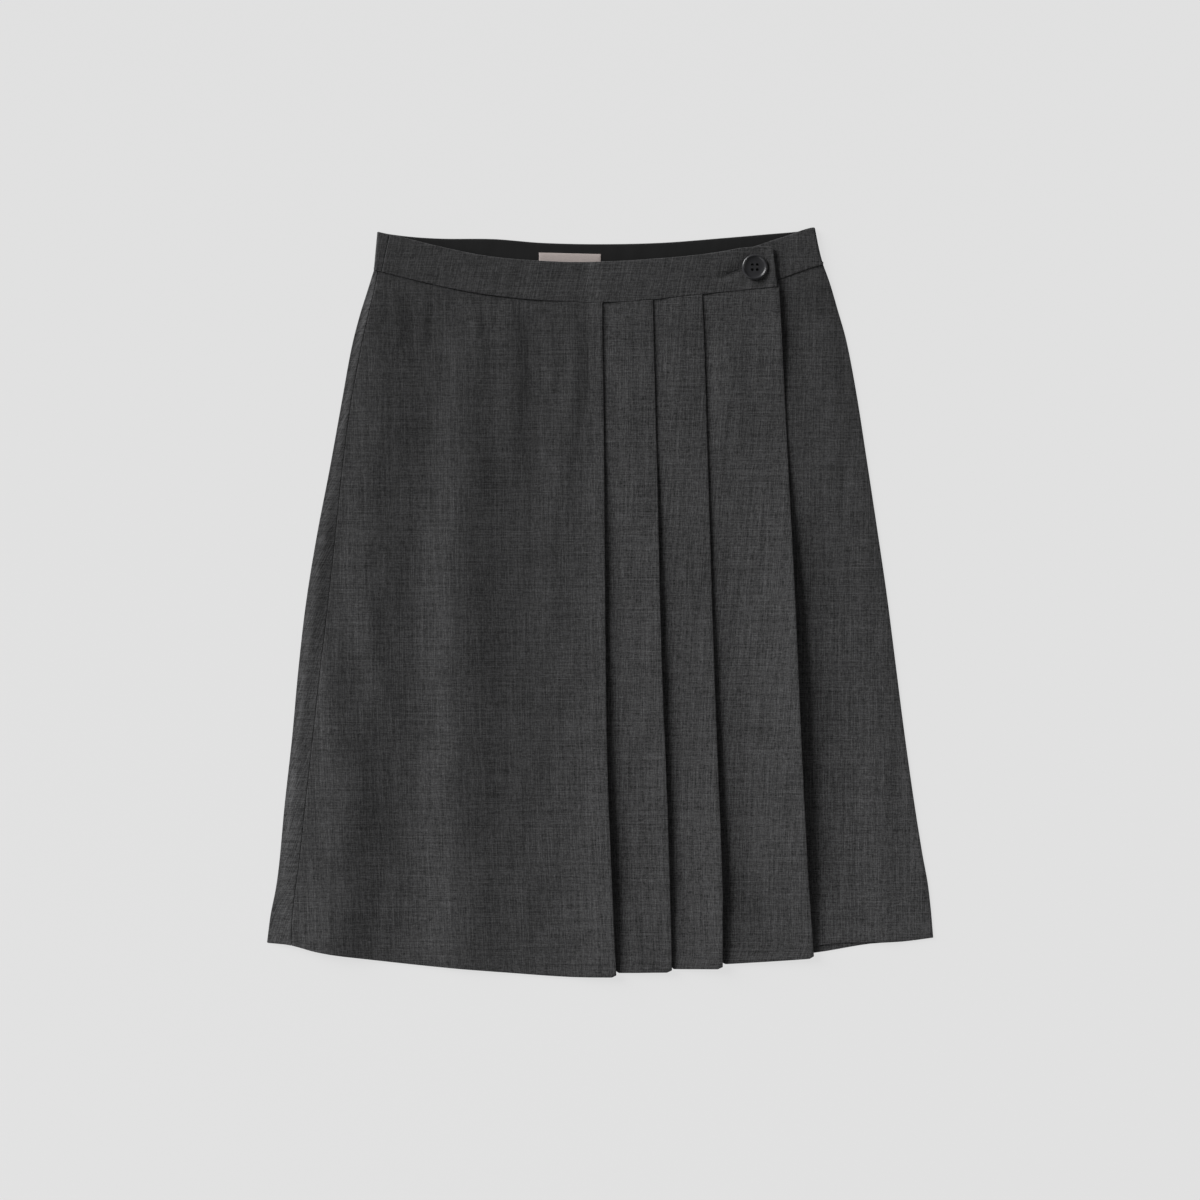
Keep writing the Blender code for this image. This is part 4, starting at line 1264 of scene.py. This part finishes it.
def buttonhole(surface):
    """Close low stitches along both sides of the buttonhole and round its left end."""
    count = int((BUTTONHOLE_RIGHT - BUTTONHOLE_LEFT) / STITCH_PITCH)
    places = []
    for i in range(count + 1):
        x = mix(BUTTONHOLE_LEFT, BUTTONHOLE_RIGHT, i / count)
        places += [(x, 0.0, -1.0), (x, 0.0, 1.0)]
    for a in np.linspace(math.pi / 2, 3 * math.pi / 2, 7):
        places.append((BUTTONHOLE_LEFT, math.cos(a), math.sin(a)))
    paths = []
    for x, right, up in places:
        ends = []
        for reach in (STITCH_INSET, BUTTONHOLE_HALF_WIDTH):
            end_x = x + reach * right
            end_y = buttonhole_y(x) + reach * up
            ends.append((end_x, end_y, buttonhole_level(end_x, end_y) - STITCH_RADIUS / 2))
        paths.append(arch(*ends, STITCH_RISE, 5))
    return stitched("buttonhole_stitches", [(paths, STITCH_RADIUS)], surface, 5)


def buttonhole_slit_shadow(surface):
    """Painted shade of the buttonhole's opening: a black tube sunk between its stitches, as far as the
    opening is seen.
    """
    path = []
    for x in np.linspace(BUTTONHOLE_LEFT, BUTTONHOLE_RIGHT, 24):
        y = buttonhole_y(x)
        path.append((x, y, buttonhole_level(x, y) - SLIT_RADIUS * SLIT_SINK))
    return stitched("buttonhole_slit_shadow", [([path], SLIT_RADIUS)], surface)


def set_camera():
    """A camera straight above the skirt, with the waist at the top of its view."""
    data = bpy.data.cameras.new("camera")
    data.sensor_width = SENSOR
    data.lens = SENSOR * CAMERA_HEIGHT / FRAME_WIDTH
    data.clip_end = CLIP_END
    made = placed("camera", data)
    made.location = (VIEW_CENTRE[0] * MM, VIEW_CENTRE[1] * MM, CAMERA_HEIGHT * MM)
    bpy.context.scene.camera = made


def add_lamp(name, kind, direction, **values):
    """A lamp that shines on the skirt's middle from a direction."""
    data = bpy.data.lights.new(name, kind)
    for key, value in values.items():
        setattr(data, key, value)
    made = placed(name, data)
    made.location = direction
    made.rotation_euler = Vector(direction).to_track_quat("Z", "Y").to_euler()


def set_light():
    """A broad key from the upper left, weak softboxes at the lower left and the right, and a dim sky."""
    turned = math.radians(KEY_TURN)
    height = math.radians(KEY_HEIGHT)
    flat = math.cos(height)
    key_from = (math.cos(turned) * flat, math.sin(turned) * flat, math.sin(height))
    add_lamp("key", "SUN", key_from, energy=KEY_STRENGTH, angle=math.radians(KEY_SIZE))
    add_lamp("side", "AREA", SIDE_PLACE, energy=SIDE_WATTS, size=SIDE_SIZE)
    add_lamp("fill", "AREA", FILL_PLACE, energy=FILL_WATTS, size=FILL_SIZE)
    world = bpy.data.worlds.new("sky")
    world.use_nodes = True
    sky = world.node_tree.nodes["Background"]
    sky.inputs["Color"].default_value = (1.0, 1.0, 1.0, 1.0)
    sky.inputs["Strength"].default_value = SKY_STRENGTH
    bpy.context.scene.world = world
    bpy.context.scene.view_settings.view_transform = "Standard"


def set_floor():
    """The floor that the skirt lies on."""
    half = FLOOR_SIZE / 2
    mesh = bpy.data.meshes.new("floor")
    corners = [(x * half, y * half, -FLOOR_DROP) for x, y in ((-1, -1), (1, -1), (1, 1), (-1, 1))]
    mesh.from_pydata(corners, [], [(0, 1, 2, 3)])
    add_piece("floor", mesh, floor_material())


def build():
    """Make the skirt's pieces and hide the parts of the model that each one replaces."""
    # Copies of the same wool that differ only in their painted light and shade.
    wool = wool_material("charcoal_wool", *WRAP_PAINTED_SHADING)
    under_wool = wool_material("charcoal_wool_under_painted_shade", *UNDER_PAINTED_SHADING)
    back_wool = wool_material("charcoal_wool_back_painted_shade", *BACK_PAINTED_SHADING)
    band_wool = wool_material("charcoal_wool_band_painted_shade", *BAND_PAINTED_SHADING)
    facing = facing_material()
    # The stitches' grey is partly painted shade of the buttonhole's dimple.
    thread = thread_material("sewing_thread", STITCH_GREY_WITH_PAINTED_SHADE)
    # The black thread also makes the buttonhole's slit, which is painted shade.
    black = thread_material("black_thread_and_slit_shade", BLACK_THREAD_AND_SLIT_SHADE)
    back_shares = shares_down(BACK_ROWS)
    under_shares = shares_down(UNDER_ROWS)
    over_shares = shares_down(steps(PANEL_LENGTH, ROW_STEP))
    band_shares = spread(0.0, 1.0, BAND_ROWS)
    fine_shares = spread(0.0, 1.0, OVER_BAND_ROWS)
    label_shares = spread(0.0, 1.0, LABEL_ROWS)
    pieces = (
        # name, node, row function, shares, thickness, material, slot
        ("back_cloth", "back_panel", back_row, back_shares, CLOTH, back_wool, "wool"),
        ("under_wrap_cloth", "under_wrap_panel", under_wrap_row, under_shares, CLOTH, under_wool, "wool"),
        ("over_wrap_cloth", "over_wrap_panel", over_wrap_row, over_shares, CLOTH, wool, "wool"),
        ("back_band_cloth", "back_waistband", back_band_row, band_shares, BAND_CLOTH, band_wool, "wool"),
        ("under_band_cloth", "under_wrap_band", under_band_row, band_shares, BAND_CLOTH, band_wool, "wool"),
        ("over_band_cloth", "over_wrap_band", over_band_row, fine_shares, BAND_CLOTH, band_wool, "wool"),
        ("facing_ribbon", "waistband_facing", facing_row, band_shares, FACING_CLOTH, facing, "facing"),
        ("label_ribbon", "label", label_row, label_shares, LABEL_CLOTH, label_material(), "label"),
    )
    tucked = ("back_cloth", "under_wrap_cloth", "over_wrap_cloth")
    made = {}
    for name, node, row_of, shares, thickness, surface, slot in pieces:
        piece = cloth(name, row_of, shares, thickness, surface, name in tucked)
        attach(piece, "root")
        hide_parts(node)
        made[name] = piece
    turned = button(button_material())
    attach(turned, "root")
    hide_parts("button")
    for piece in (button_thread(black), buttonhole(thread), buttonhole_slit_shadow(black)):
        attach(piece, "root")
    return made


made = build()
set_floor()
set_camera()
set_light()
